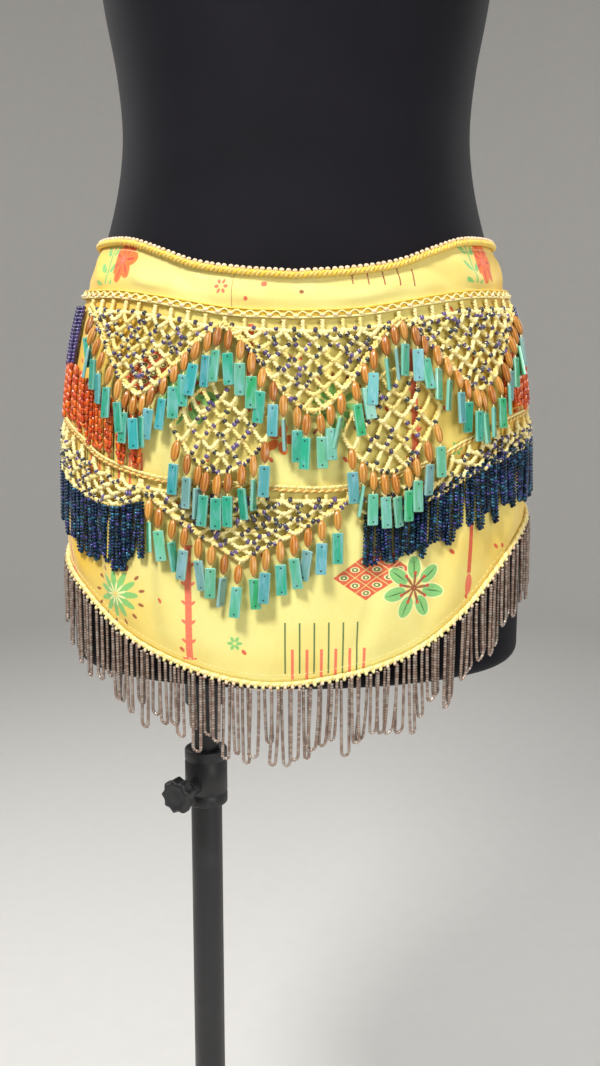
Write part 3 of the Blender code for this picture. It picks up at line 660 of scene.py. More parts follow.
class Print(Shade):
    """Printed cloth: motifs are laid over the ground in the cloth's own sizes."""

    SOFT_EDGE = 0.35 * MM

    def __init__(self, name, repeat, row_height, row_start, **sockets):
        super().__init__(name, **sockets)
        flat = self.node("ShaderNodeUVMap", uv_map="cloth")
        split = self.node("ShaderNodeSeparateXYZ", flat)
        self.flat = flat
        self.along = split
        self.height = split.node.outputs[1]
        row = self.math("FLOOR", self.math("DIVIDE", self.minus(self.height, row_start), row_height))
        shifted = self.math("MULTIPLY_ADD", row, repeat / 2, self.along)
        self.u = self.about_zero(shifted, repeat / 2)
        self.v = self.math("WRAP", self.height, row_start + row_height, row_start)

    def from_centre(self, centre):
        return self.minus(self.u, centre[0]), self.minus(self.v, centre[1])

    def both(self, *masks):
        result = masks[0]
        for mask in masks[1:]:
            result = self.times(result, mask)
        return result

    def inside(self, value, half):
        """1 where a distance is less than half, with a soft edge."""
        return self.stretch(self.size(value), half + self.SOFT_EDGE / 2, half - self.SOFT_EDGE / 2)

    def between(self, value, low, high):
        return self.inside(self.minus(value, (low + high) / 2), (high - low) / 2)

    def oval(self, x, y, half_x, half_y):
        far = self.far(self.math("DIVIDE", x, half_x), self.math("DIVIDE", y, half_y))
        soft = self.SOFT_EDGE / min(half_x, half_y)
        return self.stretch(far, 1 + soft / 2, 1 - soft / 2)

    def spot(self, centre, half_x, half_y):
        return self.oval(*self.from_centre(centre), half_x, half_y)

    def ring(self, centre, count, radius, half_length, half_width, turn=0.0):
        """Ovals that point outwards from a centre, as petals and rays do."""
        x, y = self.from_centre(centre)
        far = self.far(x, y)
        angle = self.about_zero(self.plus(self.math("ARCTAN2", y, x), turn), math.pi / count)
        outwards = self.minus(self.times(far, self.math("COSINE", angle)), radius)
        across = self.times(far, self.math("SINE", angle))
        return self.oval(outwards, across, half_length, half_width)

    def stripe(self, centre_u, low, high, half):
        """Upright stripe."""
        return self.both(self.inside(self.minus(self.u, centre_u), half),
                         self.between(self.v, low, high))

    def comb(self, start, end, pitch, low, high, half, offset=0.0):
        """Row of upright stripes, pitch apart."""
        each = self.about_zero(self.minus(self.u, start + offset), pitch / 2)
        return self.both(self.inside(each, half), self.between(self.v, low, high),
                         self.between(self.u, start, end))

    def sprig(self, centre_u, low, high, pitch, stem_half, leaf_reach):
        """Upright stem with pairs of leaves that lean upwards."""
        x = self.minus(self.size(self.minus(self.u, centre_u)), leaf_reach)
        y = self.about_zero(self.minus(self.v, low), pitch / 2)
        cosine, sine = math.cos(LEAF_LEAN), math.sin(LEAF_LEAN)
        along_leaf = self.plus(self.times(x, cosine), self.times(y, sine))
        across_leaf = self.minus(self.times(y, cosine), self.times(x, sine))
        leaf = self.oval(along_leaf, across_leaf, LEAF_LENGTH * leaf_reach, LEAF_WIDTH * leaf_reach)
        leaves = self.both(leaf, self.between(self.v, low, high))
        return self.math("MAXIMUM", leaves, self.stripe(centre_u, low, high, stem_half))

    def paint(self, ground, *layers):
        """Lays (mask, colour) pairs over the ground, slightly worn as ink is."""
        wear = self.stretch(self.noise(self.flat, 900, 3.0, 0.7), 0.25, 0.62, 0.72, 0.97)
        for mask, colour in layers:
            ground = self.mix(self.times(mask, wear), ground, colour)
        return ground

    def weave(self, strength):
        """Fine plain weave of warp and weft threads."""
        turns = 2 * math.pi / THREAD_PITCH
        warp = self.math("SINE", self.times(self.along, turns))
        weft = self.math("SINE", self.times(self.height, turns))
        slub = self.noise(self.scaled(self.flat, (220, 1400, 1)), 1.0, 2.0)
        cross = self.plus(self.times(warp, weft), self.times(slub, 1.4))
        self.bump(cross, strength, 0.06 * MM)


THREAD_PITCH = 0.36 * MM
LEAF_LEAN = math.radians(38)
LEAF_LENGTH = 0.82
LEAF_WIDTH = 0.34
PRINT_REPEAT = 0.300
PRINT_ROW = 0.128
SKIRT_PRINT_START = 0.966 - 2 * PRINT_ROW
BAND_PRINT_START = 0.940
# CLOTH_PALE is the ground's painted lit front, and CLOTH_GOLD its painted shaded sides.
CLOTH_PALE = (0.850, 0.785, 0.290)
CLOTH_GOLD = (0.870, 0.540, 0.055)
CLOTH_WORN = (0.74, 0.50, 0.03)
CLOTH_SLUB = (0.60, 0.46, 0.05)
INK_GREEN = (0.170, 0.54, 0.160)
INK_DARK_GREEN = (0.025, 0.115, 0.030)
INK_RED = (0.68, 0.055, 0.035)
INK_CORAL = (0.82, 0.130, 0.090)
INK_BROWN = (0.30, 0.050, 0.025)
INK_CREAM = (0.90, 0.86, 0.42)
INK_ORANGE = (0.86, 0.115, 0.010)
CHEQUER_CENTRE = (0.049, 0.782)
CHEQUER_CELL = 14.6 * MM
CHEQUER_SQUASH = 1.40


def band_motifs(cloth):
    """The band's print: a blossom, a sprig, spots, short strokes and the join."""
    blossom = (-0.141, 0.988)
    return [
        (cloth.ring(blossom, 7, 8.5 * MM, 6.5 * MM, 4.6 * MM), INK_ORANGE),
        (cloth.ring(blossom, 7, 8.0 * MM, 4.0 * MM, 1.0 * MM), INK_RED),
        (cloth.spot(blossom, 3.2 * MM, 3.2 * MM), INK_CORAL),
        (cloth.comb(0.036, 0.094, 11.4 * MM, 0.968, 0.979, 0.55 * MM, 4 * MM), INK_BROWN),
        (cloth.ring((-0.052, 0.967), 6, 3.4 * MM, 1.6 * MM, 1.1 * MM), INK_CORAL),
        (cloth.spot((-0.022, 0.968), 2.2 * MM, 1.7 * MM), INK_CORAL),
        (cloth.spot((0.004, 0.963), 1.6 * MM, 1.2 * MM), INK_BROWN),
        (cloth.spot((-0.034, 0.959), 1.4 * MM, 1.4 * MM), INK_RED),
        (cloth.sprig(0.143, 0.973, 0.999, 11 * MM, 0.9 * MM, 6.0 * MM), INK_GREEN),
        (cloth.inside(cloth.minus(cloth.along, BAND_JOIN), 0.22 * MM), INK_BROWN),
    ]


def chequer(cloth):
    """Slanting chequer of red cells, each with a ringed eye."""
    x, y = cloth.from_centre(CHEQUER_CENTRE)
    y = cloth.times(y, CHEQUER_SQUASH)
    p, q = cloth.plus(x, y), cloth.minus(x, y)
    cell_p = cloth.about_zero(cloth.plus(p, CHEQUER_CELL / 2), CHEQUER_CELL / 2)
    cell_q = cloth.about_zero(q, CHEQUER_CELL / 2)
    whole = cloth.both(cloth.inside(p, 2 * CHEQUER_CELL), cloth.inside(q, 1.5 * CHEQUER_CELL))
    half_cell = 0.475 * CHEQUER_CELL
    cells = cloth.both(whole, cloth.inside(cell_p, half_cell), cloth.inside(cell_q, half_cell))
    eye = cloth.plus(cell_p, cell_q), cloth.minus(cell_p, cell_q)
    rings = ((6.4 * MM, 5.4 * MM, INK_CREAM), (4.3 * MM, 4.0 * MM, INK_DARK_GREEN),
             (2.0 * MM, 2.0 * MM, INK_CREAM))
    return [(cells, INK_RED)] + [(cloth.both(whole, cloth.oval(*eye, half_x, half_y)), ink)
                                 for half_x, half_y, ink in rings]


def scattered_spots(cloth):
    """Small spots in slanting rows, with a gap where the strokes stand."""
    u = cloth.about_zero(cloth.plus(cloth.u, cloth.times(cloth.v, 0.45)), 21 * MM)
    v = cloth.math("WRAP", cloth.v, 0.745, 0.7125)
    spots = cloth.oval(u, cloth.minus(v, 0.729), 1.4 * MM, 1.8 * MM)
    apart = cloth.stretch(cloth.size(cloth.minus(cloth.u, 0.018)), 34 * MM, 34.1 * MM)
    return cloth.both(spots, apart)


def skirt_motifs(cloth):
    """The skirt's print: chequer, flower, star, strokes, stems and spots."""
    flower = (0.078, 0.771)
    star = (-0.125, 0.763)
    return [
        (scattered_spots(cloth), INK_RED),
        (cloth.comb(-0.010, 0.046, 9.4 * MM, 0.715, 0.750, 0.55 * MM, 3 * MM), INK_DARK_GREEN),
        (cloth.comb(-0.010, 0.046, 9.4 * MM, 0.711, 0.732, 0.95 * MM, 7.7 * MM), INK_CORAL),
        *chequer(cloth),
        (cloth.ring(flower, 7, 14.0 * MM, 8.4 * MM, 5.4 * MM, 0.2), INK_CREAM),
        (cloth.ring(flower, 7, 14.0 * MM, 7.6 * MM, 4.6 * MM, 0.2), INK_GREEN),
        (cloth.ring(flower, 7, 14.5 * MM, 5.4 * MM, 0.40 * MM, 0.2), INK_DARK_GREEN),
        (cloth.ring(flower, 9, 6.0 * MM, 4.8 * MM, 0.95 * MM, 0.6), INK_BROWN),
        (cloth.ring(flower, 9, 10.2 * MM, 1.3 * MM, 1.2 * MM, 0.6), INK_RED),
        (cloth.spot(flower, 2.2 * MM, 2.2 * MM), INK_BROWN),
        (cloth.ring(star, 11, 9.5 * MM, 7.4 * MM, 2.2 * MM), INK_GREEN),
        (cloth.ring(star, 11, 5.0 * MM, 3.4 * MM, 0.8 * MM, 0.28), INK_CREAM),
        (cloth.ring(star, 13, 20.0 * MM, 2.2 * MM, 1.1 * MM, 0.31), INK_BROWN),
        (cloth.sprig(-0.071, 0.722, 0.800, 13 * MM, 2.4 * MM, 3.0 * MM), INK_CORAL),
        (cloth.stripe(0.120, 0.778, 0.815, 1.9 * MM), INK_RED),
        (cloth.spot((0.120, 0.770), 3.2 * MM, 7.6 * MM), INK_CORAL),
        (cloth.ring((0.140, 0.742), 5, 6.0 * MM, 4.4 * MM, 2.9 * MM), INK_ORANGE),
        (cloth.ring((-0.040, 0.735), 6, 3.0 * MM, 2.0 * MM, 1.1 * MM), INK_GREEN),
    ]


def print_material(name, row_start, motifs):
    """Yellow cotton lawn, painted paler at the front as painted light and golder at the sides as painted
    shade, with a printed repeat of motifs.
    """
    cloth = Print(name, PRINT_REPEAT, PRINT_ROW, row_start, Roughness=0.74, Sheen_Weight=0.20,
                  Sheen_Roughness=0.45, Specular_IOR_Level=0.35)
    broad = cloth.noise(cloth.scaled(cloth.flat, (9, 13, 1)), 1.0, 2.0)
    # Painted light and shade: pale towards the front and gold towards the sides, with random tone from
    # broad noise.
    aside = cloth.stretch(cloth.size(cloth.along), 0.050, 0.210)
    painted_side_shade_and_tone = cloth.plus(aside, cloth.stretch(broad, 0.35, 0.7, -0.30, 0.34), clamp=True)
    ground = cloth.mix(painted_side_shade_and_tone, CLOTH_PALE, CLOTH_GOLD)
    worn = cloth.noise(cloth.scaled(cloth.flat, (46, 30, 1)), 1.0, 4.0, 0.6)
    ground = cloth.veil(ground, CLOTH_WORN, worn, 0.52, 0.74, 0.20)
    slub = cloth.noise(cloth.scaled(cloth.flat, (300, 2600, 1)), 1.0, 1.0)
    ground = cloth.veil(ground, CLOTH_SLUB, slub, 0.3, 0.7, 0.12)
    painted = cloth.paint(ground, *motifs(cloth))
    # The tint attribute holds the painted shade behind the lace and drops, multiplied into the cloth's
    # colour.
    cloth.set("Base Color", cloth.mix(1.0, painted, cloth.attribute("tint"), "MULTIPLY"))
    cloth.weave(0.45)
    return cloth.material


def yarn_material(name):
    """Mercerised cotton cord: colour from the piece's tint, fibres as fine bump."""
    yarn = Shade(name, Roughness=0.62, Sheen_Weight=0.15, Sheen_Roughness=0.4)
    where = yarn.position()
    fibre = yarn.noise(where, 2600, 3.0, 0.65)
    dirt = yarn.noise(where, 160, 3.0)
    shaded = yarn.veil(yarn.attribute("tint"), (0.50, 0.24, 0.02), dirt, 0.40, 0.78, 0.30)
    yarn.set("Base Color", yarn.veil(shaded, (0.92, 0.80, 0.40), fibre, 0.45, 0.75, 0.22))
    yarn.bump(fibre, 0.5, 0.25 * MM)
    return yarn.material


def bead_material(name, roughness, metallic, coat, painted_glint=None, index=1.5):
    """Glass or metal beads: each bead has its own tint; a given glint colour is painted in cloudy spots as
    painted highlights, or else the spots are a little darker.
    """
    bead = Shade(name, Roughness=roughness, Metallic=metallic, IOR=index, Coat_Weight=coat,
                 Coat_Roughness=0.06)
    tint = bead.attribute("tint")
    cloud = bead.noise(bead.position(), 700, 2.0)
    # Painted highlights: the glint colour is laid over the tint in small cloudy spots.
    if painted_glint:
        tint = bead.veil(tint, painted_glint, cloud, 0.46, 0.70, 0.85)
    else:
        tint = bead.veil(tint, (0.02, 0.02, 0.02), cloud, 0.35, 0.75, 0.25)
    bead.set("Base Color", tint)
    scratch = bead.noise(bead.position(), 2400, 2.0)
    bead.set("Roughness", bead.stretch(scratch, 0.3, 0.7, roughness * 0.7, roughness * 1.5))
    return bead.material


def shell_material():
    """Dyed mother-of-pearl tablets: cloudy bands, pale rims, and a drilled hole painted dark as painted
    shade.
    """
    shell = Shade("shell_tablet", Roughness=0.28, Coat_Weight=0.55, Coat_Roughness=0.10)
    side = shell.node("ShaderNodeSeparateXYZ", shell.attribute("local", output=1))
    up = side.node.outputs[1]
    bands = shell.noise(shell.scaled(shell.position(), (260, 260, 60)), 1.0, 3.0, 0.6)
    lilac = shell.veil(shell.attribute("tint"), (0.34, 0.56, 0.72), bands, 0.48, 0.72, 0.45)
    dark = shell.veil(lilac, (0.03, 0.30, 0.26), bands, 0.50, 0.25, 0.35)
    rims = [shell.stretch(shell.size(way), reach / 2 - 0.9 * MM, reach / 2 - 0.3 * MM)
            for way, reach in ((side, PLATE_WIDTH), (up, PLATE_HEIGHT))]
    rimmed = shell.mix(shell.times(shell.math("MAXIMUM", *rims), 0.28), dark, (0.46, 0.80, 0.72))
    from_hole = shell.minus(shell.size(up), PLATE_HEIGHT / 2 - 2.3 * MM)
    # The hole is not cut: it is painted dark as painted shade, and dented by the bump.
    hole_dent_and_painted_shade = shell.stretch(shell.far(side, from_hole), 0.75 * MM, 0.50 * MM)
    shell.set("Base Color", shell.mix(hole_dent_and_painted_shade, rimmed, (0.010, 0.030, 0.040)))
    shell.bump(shell.minus(bands, hole_dent_and_painted_shade), 0.35, 0.2 * MM)
    return shell.material


def wheat_material():
    """Carved oval beads with streaks in their own tint, waxed; grooves darkened as painted shade and
    ridges lightened as painted highlights.
    """
    wheat = Shade("wheat_bead", Roughness=0.34, Coat_Weight=0.40, Coat_Roughness=0.15)
    local = wheat.attribute("local", output=1)
    groove_and_painted_shade = wheat.node("ShaderNodeSeparateXYZ", local)
    streaks = wheat.noise(wheat.scaled(local, (0.5, 60, 2.2)), 1.0, 3.0, 0.6)
    painted_ridge_highlight = wheat.minus(wheat.stretch(streaks, 0.36, 0.64), groove_and_painted_shade, clamp=True)
    pale = wheat.mix(wheat.times(painted_ridge_highlight, 0.55), wheat.attribute("tint"), (0.66, 0.34, 0.060))
    # Painted shade: the grooves are darkened.
    wheat.set("Base Color", wheat.veil(pale, (0.13, 0.032, 0.005), groove_and_painted_shade, 0.45, 1.0, 0.55))
    wheat.bump(streaks, 0.5, 0.3 * MM)
    return wheat.material


def form_material():
    """Dark jersey over the dress form: fine knit, a soft matte bloom."""
    skin = Shade("form_jersey", Roughness=0.72, Sheen_Weight=0.03, Sheen_Roughness=0.5,
                 Specular_IOR_Level=0.10)
    where = skin.position()
    cloud = skin.noise(where, 14, 3.0)
    skin.set("Base Color", skin.veil((0.0050, 0.0046, 0.0072), (0.0078, 0.0072, 0.0112), cloud,
                                     0.3, 0.75))
    knit = skin.noise(skin.scaled(where, (1500, 1500, 700)), 1.0, 2.0)
    skin.bump(knit, 0.35, 0.12 * MM)
    return skin.material


def metal_material():
    """Black powder-coated steel: a slight orange-peel surface, rubbed in places."""
    metal = Shade("powder_coat", Coat_Weight=0.15, Coat_Roughness=0.3)
    where = metal.position()
    rub = metal.noise(where, 22, 4.0, 0.65)
    metal.set("Base Color", metal.veil((0.012, 0.012, 0.014), (0.045, 0.044, 0.046), rub,
                                       0.50, 0.80, 0.6))
    metal.set("Roughness", metal.stretch(rub, 0.3, 0.8, 0.36, 0.58))
    metal.bump(metal.noise(where, 900, 2.0), 0.25, 0.2 * MM)
    return metal.material


def plastic_material():
    """Moulded black plastic with a fine spark-eroded grain."""
    plastic = Shade("moulded_plastic")
    where = plastic.position()
    wear = plastic.noise(where, 60, 3.0)
    plastic.set("Base Color", plastic.veil((0.016, 0.016, 0.018), (0.050, 0.050, 0.052), wear,
                                           0.5, 0.8, 0.5))
    plastic.set("Roughness", plastic.stretch(wear, 0.3, 0.8, 0.42, 0.60))
    plastic.bump(plastic.noise(where, 1800, 2.0), 0.4, 0.15 * MM)
    return plastic.material


# ------------------------------------------------------------ mesh building
class Pile:
    """Points and faces of many small shapes, gathered into one mesh."""

    def __init__(self):
        self.points = []
        self.tints = []
        self.locals = []
        self.faces = []
        self.count = 0

    def add(self, points, faces, tint=(1, 1, 1), local=None):
        points = np.asarray(points, float).reshape(-1, 3)
        tint = np.asarray(tint, float)
        self.points.append(points)
        self.tints.append(np.broadcast_to(tint, points.shape))
        self.locals.append(np.zeros_like(points) if local is None else local.reshape(-1, 3))
        self.faces += [np.asarray(part, int) + self.count for part in faces]
        self.count += len(points)

    def piece(self, name, material, slot, replaced, body="form", smooth=True, uv=None):
        """One object of the whole pile, riding on a body in place of a solid."""
        mesh = bpy.data.meshes.new(name)
        points = np.concatenate(self.points)
        corners = np.concatenate([part.ravel() for part in self.faces])
        sizes = np.concatenate([np.full(len(part), part.shape[1]) for part in self.faces])
        starts = np.concatenate(([0], np.cumsum(sizes)[:-1]))
        mesh.vertices.add(len(points))
        mesh.vertices.foreach_set("co", points.astype(np.float32).ravel())
        mesh.loops.add(len(corners))
        mesh.loops.foreach_set("vertex_index", corners.astype(np.int32))
        mesh.polygons.add(len(sizes))
        mesh.polygons.foreach_set("loop_start", starts.astype(np.int32))
        mesh.update(calc_edges=True)
        tint = mesh.attributes.new("tint", "FLOAT_COLOR", "POINT")
        colours = np.concatenate((np.concatenate(self.tints), np.ones((len(points), 1))), axis=1)
        tint.data.foreach_set("color", colours.astype(np.float32).ravel())
        local = mesh.attributes.new("local", "FLOAT_VECTOR", "POINT")
        local.data.foreach_set("vector", np.concatenate(self.locals).astype(np.float32).ravel())
        if uv is not None:
            layer = mesh.uv_layers.new(name="cloth")
            layer.data.foreach_set("uv", uv[corners].astype(np.float32).ravel())
        mesh.validate()
        mesh.polygons.foreach_set("use_smooth", np.full(len(mesh.polygons), smooth))
        mesh.materials.append(material)
        thing = bpy.data.objects.new(name, mesh)
        bpy.context.scene.collection.objects.link(thing)
        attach(thing, body)
        if replaced:
            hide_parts(*replaced)
        return thing


def grid_faces(rows, columns, wrap_columns=False):
    """Quads between neighbouring rows and columns of points."""
    row = np.arange(rows - 1)[:, None]
    column = np.arange(columns if wrap_columns else columns - 1)[None, :]
    following = (column + 1) % columns
    faces = (row * columns + column, row * columns + following,
             (row + 1) * columns + following, (row + 1) * columns + column)
    return np.stack(np.broadcast_arrays(*faces), axis=-1).reshape(-1, 4)


def tube_faces(rows, sides):
    """Faces of a closed tube: its wall and its two ends."""
    ends = np.array([np.arange(sides)[::-1], np.arange(sides) + (rows - 1) * sides])
    return [grid_faces(rows, sides, wrap_columns=True), ends]


def unit(vectors):
    return vectors / np.maximum(np.linalg.norm(vectors, axis=-1, keepdims=True), 1e-12)


def cross_frames(centres, outwards):
    """Two directions across a line of points, the second facing outwards."""
    forward = unit(np.gradient(centres, axis=0))
    side = unit(np.cross(forward, outwards))
    return side, np.cross(side, forward)


def outward(points):
    """Level directions away from the form's axis."""
    flat = points * (1, 1, 0)
    return unit(flat * (1 / 0.165, 1 / 0.115, 0))


def add_tube(pile, centres, radius, sides, tint, frames=None):
    """Closed tube round a line of points."""
    side, up = frames or cross_frames(centres, outward(centres))
    turn = np.linspace(0, 2 * math.pi, sides, endpoint=False)
    radius = np.broadcast_to(np.asarray(radius, float), len(centres))
    ring = side[:, None] * np.cos(turn)[None, :, None] + up[:, None] * np.sin(turn)[None, :, None]
    pile.add(centres[:, None] + radius[:, None, None] * ring, tube_faces(len(centres), sides), tint)


def add_twist(pile, centres, radius, pitch, tint, plies=2, sides=5, phase=0.0, second=None):
    """Cord of twisted plies that fill the given radius."""
    length = lengths_along(centres)
    side, up = cross_frames(centres, outward(centres))
    ply_radius = radius * (0.56 if plies == 2 else 0.50)
    for k in range(plies):
        turn = (2 * math.pi * (length / pitch + k / plies) + phase)[:, None]
        line = centres + (radius - ply_radius) * (side * np.cos(turn) + up * np.sin(turn))
        colour = tint if k == 0 or second is None else second
        add_tube(pile, line, ply_radius, sides, colour, (side, up))


def resampled(points, step):
    """The same line, with points an even step apart."""
    length = lengths_along(points)
    count = max(3, round(length[-1] / step) + 1)
    even = np.linspace(0, length[-1], count)
    return np.stack([np.interp(even, length, points[:, k]) for k in range(3)], axis=1)


def add_beads(pile, centres, axes, profile, sides, radius, half_height, tints, spin=0.0):
    """Turned beads.  profile rows are the share of radius and of half height."""
    count = len(centres)
    axes = unit(axes)
    side = unit(np.cross(axes, outward(centres)))
    up = np.cross(side, axes)
    angle = np.linspace(0, 2 * math.pi, sides, endpoint=False) + spin
    wide = np.array([row[0] for row in profile])[None, :, None, None] * radius
    tall = np.array([row[1] for row in profile])[None, :, None, None] * half_height
    ring = (side[:, None, None] * np.cos(angle)[None, None, :, None]
            + up[:, None, None] * np.sin(angle)[None, None, :, None])
    points = centres[:, None, None] + axes[:, None, None] * tall + ring * wide
    rows = len(profile)
    one = tube_faces(rows, sides)
    shift = (np.arange(count) * rows * sides)[:, None, None]
    faces = [(part[None] + shift).reshape(-1, part.shape[1]) for part in one]
    tint = np.repeat(np.asarray(tints), rows * sides, axis=0)
    pile.add(points, faces, tint)


def add_strand(pile, centres, radius, sides, tints):
    """Threaded beads as one tube that swells at each bead, with painted shade in the grooves between
    beads.
    """
    count = len(centres)
    ring = np.arange(2 * count + 1) / 2 - 0.5
    first, last = 2 * centres[0] - centres[1], 2 * centres[-1] - centres[-2]
    longer = np.concatenate(([first], centres, [last]))
    line = np.stack([np.interp(ring + 1, np.arange(count + 2), longer[:, k]) for k in range(3)],
                    axis=1)
    full = np.arange(2 * count + 1) % 2
    shade = np.repeat(tints, 2, axis=0)
    shade = np.concatenate((shade, shade[-1:])) * np.where(full, 1.0, GROOVE_SHADE)[:, None]
    add_tube(pile, line, radius * np.where(full, 1.0, GROOVE_SHARE), sides,
             np.repeat(shade, sides, axis=0))


# Shares of a strand's radius and colour that are left between two beads; the darker colour there is
# painted shade.
GROOVE_SHARE = 0.70
GROOVE_SHADE = 0.35
# Bead profiles, from one end to the other: shares of the radius and half height.
ROUND_BEAD = ((0.45, -0.96), (0.86, -0.66), (1.0, 0.0), (0.86, 0.66), (0.45, 0.96))
FULL_BEAD = ((0.42, -1.0), (0.84, -0.82), (1.0, -0.30), (1.0, 0.30), (0.84, 0.82), (0.42, 1.0))
BUGLE_BEAD = ((0.70, -1.0), (1.0, -0.90), (1.0, 0.90), (0.70, 1.0))
KNOT = ((0.35, -0.95), (0.85, -0.55), (1.0, 0.0), (0.85, 0.55), (0.35, 0.95))


def pick(colours, count, spread=0.12):
    """Random choice of colours, each a little lighter or darker."""
    chosen = np.array(colours)[random.integers(0, len(colours), count)]
    return chosen * (1 + random.uniform(-spread, spread, (count, 1)))


# ---------------------------------------------------------- form and stand
def build_dress_form(material):
    """Torso with rounded edges at its foot and neck."""
    turn = np.linspace(0, math.pi / 2, FORM_EDGE_ROWS)
    edge_rise = FORM_EDGE_RISE * (1 - np.cos(turn))
    edge_in = FORM_EDGE_INSET * (1 - np.sin(turn))
    heights = np.concatenate((
        FORM_BOTTOM + edge_rise,
        steps_along(FORM_BOTTOM + FORM_EDGE_RISE, FORM_TOP - FORM_EDGE_RISE, FORM_STEP)[1:-1],
        (FORM_TOP - edge_rise)[::-1]))
    inset = np.zeros(len(heights))
    inset[:FORM_EDGE_ROWS] = edge_in
    inset[-FORM_EDGE_ROWS:] = edge_in[::-1] / 3
    angles = np.linspace(0, 2 * math.pi, FORM_SIDES, endpoint=False)
    wall = form_points(angles[None, :], heights[:, None], -inset[:, None])
    rings = []
    for end, shares in ((wall[0], FORM_END_RINGS), (wall[-1], FORM_END_RINGS[::-1])):
        middle = end.mean(axis=0)
        rings.append([middle + (end - middle) * share for share in shares])
    rows = np.concatenate((rings[0], wall, rings[1]))
    pile = Pile()
    pile.add(rows, tube_faces(len(rows), FORM_SIDES))
    return pile.piece("dress_form", material, "form_skin", ["form_torso"])


def add_turned(pile, profile, place_frame, sides, lobes=0, lobe_depth=0.0, lobe_from=1.0):
    """Turned shape: profile rows are radius and height, from foot to head, closed."""
    angle = np.linspace(0, 2 * math.pi, sides, endpoint=False)
    rows = []
    for radius, height in profile:
        wave = 0.0
        if lobes and radius > lobe_from:
            wave = lobe_depth * (0.5 + 0.5 * np.cos(lobes * angle)) ** 0.6
        reach = radius - wave
        rows.append(np.stack((reach * np.cos(angle), reach * np.sin(angle),
                              height + 0 * angle), axis=1))
    points = np.concatenate(rows)
    matrix = np.array(place_frame)
    pile.add(points @ matrix[:3, :3].T + matrix[:3, 3], tube_faces(len(rows), sides))


def pole_frame(height=0.0):
    return Matrix.Translation((POLE_X, POLE_Y, height))


def knob_frame():
    way = Vector((-math.sin(KNOB_TURN), -math.cos(KNOB_TURN), 0))
    return pole_frame(KNOB_HEIGHT) @ way.to_track_quat("Z", "Y").to_matrix().to_4x4()


def rounded(radius, low, high, edge):
    """Profile of a disc or tube wall with rounded edges, from foot to head."""
    turn = np.linspace(0, math.pi / 2, 5)
    foot = [(radius - edge + edge * math.sin(t), low + edge - edge * math.cos(t)) for t in turn]
    head = [(radius - edge + edge * math.cos(t), high - edge + edge * math.sin(t)) for t in turn]
    return foot + head


def build_base(metal):
    """Round base plate with a washer where the lower tube stands."""
    pile = Pile()
    plate = rounded(BASE_RADIUS, 0, BASE_THICK, 2.6 * MM)
    add_turned(pile, [(AXIS, 0), *plate, (AXIS, BASE_THICK)], Matrix.Identity(4), 128)
    add_turned(pile, [(radius * MM, height * MM) for radius, height in WASHER_PROFILE],
               pole_frame(), 48)
    pile.piece("stand_base", metal, "black_metal", ["base_plate"], "stand", smooth=False)


def build_tubes(metal):
    """The two hollow tubes of the post."""
    for name, body, radius, bore, low, high in TUBES:
        outer = rounded(radius, low, high, 0.7 * MM)
        inner = [(bore, high - 0.3 * MM), (bore, low + 0.3 * MM)]
        pile = Pile()
        add_turned(pile, outer + inner + outer[:1], pole_frame(), 48)
        # A tube has no end faces: its profile closes on itself.
        pile.faces.pop()
        pile.piece("stand_" + name, metal, "black_metal", [name], body)


def build_clamp(plastic):
    """Collar with two grooves and a boss, and the lobed knob beside it."""
    wall = rounded(COLLAR_RADIUS, 0.572, 0.618, 1.6 * MM)
    floor = COLLAR_RADIUS - COLLAR_GROOVE
    grooves = []
    for low in (0.580, 0.607):
        grooves += [(COLLAR_RADIUS, low), (floor, low + 0.8 * MM), (floor, low + 2.2 * MM),
                    (COLLAR_RADIUS, low + 3 * MM)]
    half = len(wall) // 2
    bore = [(12.8 * MM, 0.6175), (12.8 * MM, 0.5725)]
    collar = Pile()
    add_turned(collar, wall[:half] + grooves + wall[half:] + bore + wall[:1], pole_frame(), 56)
    collar.faces.pop()
    low, high = 14 * MM, 24 * MM
    boss = rounded(6.5 * MM, low, high, 0.8 * MM)
    add_turned(collar, [(AXIS, low), *boss, (AXIS, high)], knob_frame(), 32)
    collar.piece("stand_collar", plastic, "black_plastic", ["clamp_collar"], "stand")
    knob = Pile()
    add_turned(knob, [(radius * MM, KNOB_START + way * MM) for radius, way in KNOB_PROFILE],
               knob_frame(), 108, KNOB_LOBES, 2.0 * MM, 9.5 * MM)
    knob.piece("stand_knob", plastic, "black_plastic", ["clamp_knob"], "knob")


def build_flange(metal):
    """Plate and hub below the form, with four screws."""
    pile = Pile()
    top = FORM_BOTTOM - SEAM_GAP
    hub_top = top - 4 * MM
    foot = 0.655
    profile = [(AXIS, hub_top), (10.9 * MM, hub_top), (10.9 * MM, foot + 0.6 * MM),
               (11.4 * MM, foot), (15.4 * MM, foot), (16 * MM, foot + 0.6 * MM),
               (16 * MM, top - 7 * MM), (18 * MM, top - 5 * MM), (37.2 * MM, top - 5 * MM),
               (38 * MM, top - 4.2 * MM), (38 * MM, top - 0.8 * MM), (37.2 * MM, top), (AXIS, top)]
    add_turned(pile, profile, pole_frame(), 64)
    screw = [(radius * MM, height * MM) for radius, height in SCREW_PROFILE]
    for k in range(4):
        turn = math.pi / 4 + k * math.pi / 2
        spot = (POLE_X + SCREW_CIRCLE * math.cos(turn), POLE_Y + SCREW_CIRCLE * math.sin(turn),
                top - 7.0 * MM)
        add_turned(pile, screw, Matrix.Translation(spot), 20)
    pile.piece("form_flange_plate", metal, "black_metal", ["form_flange"], smooth=False)


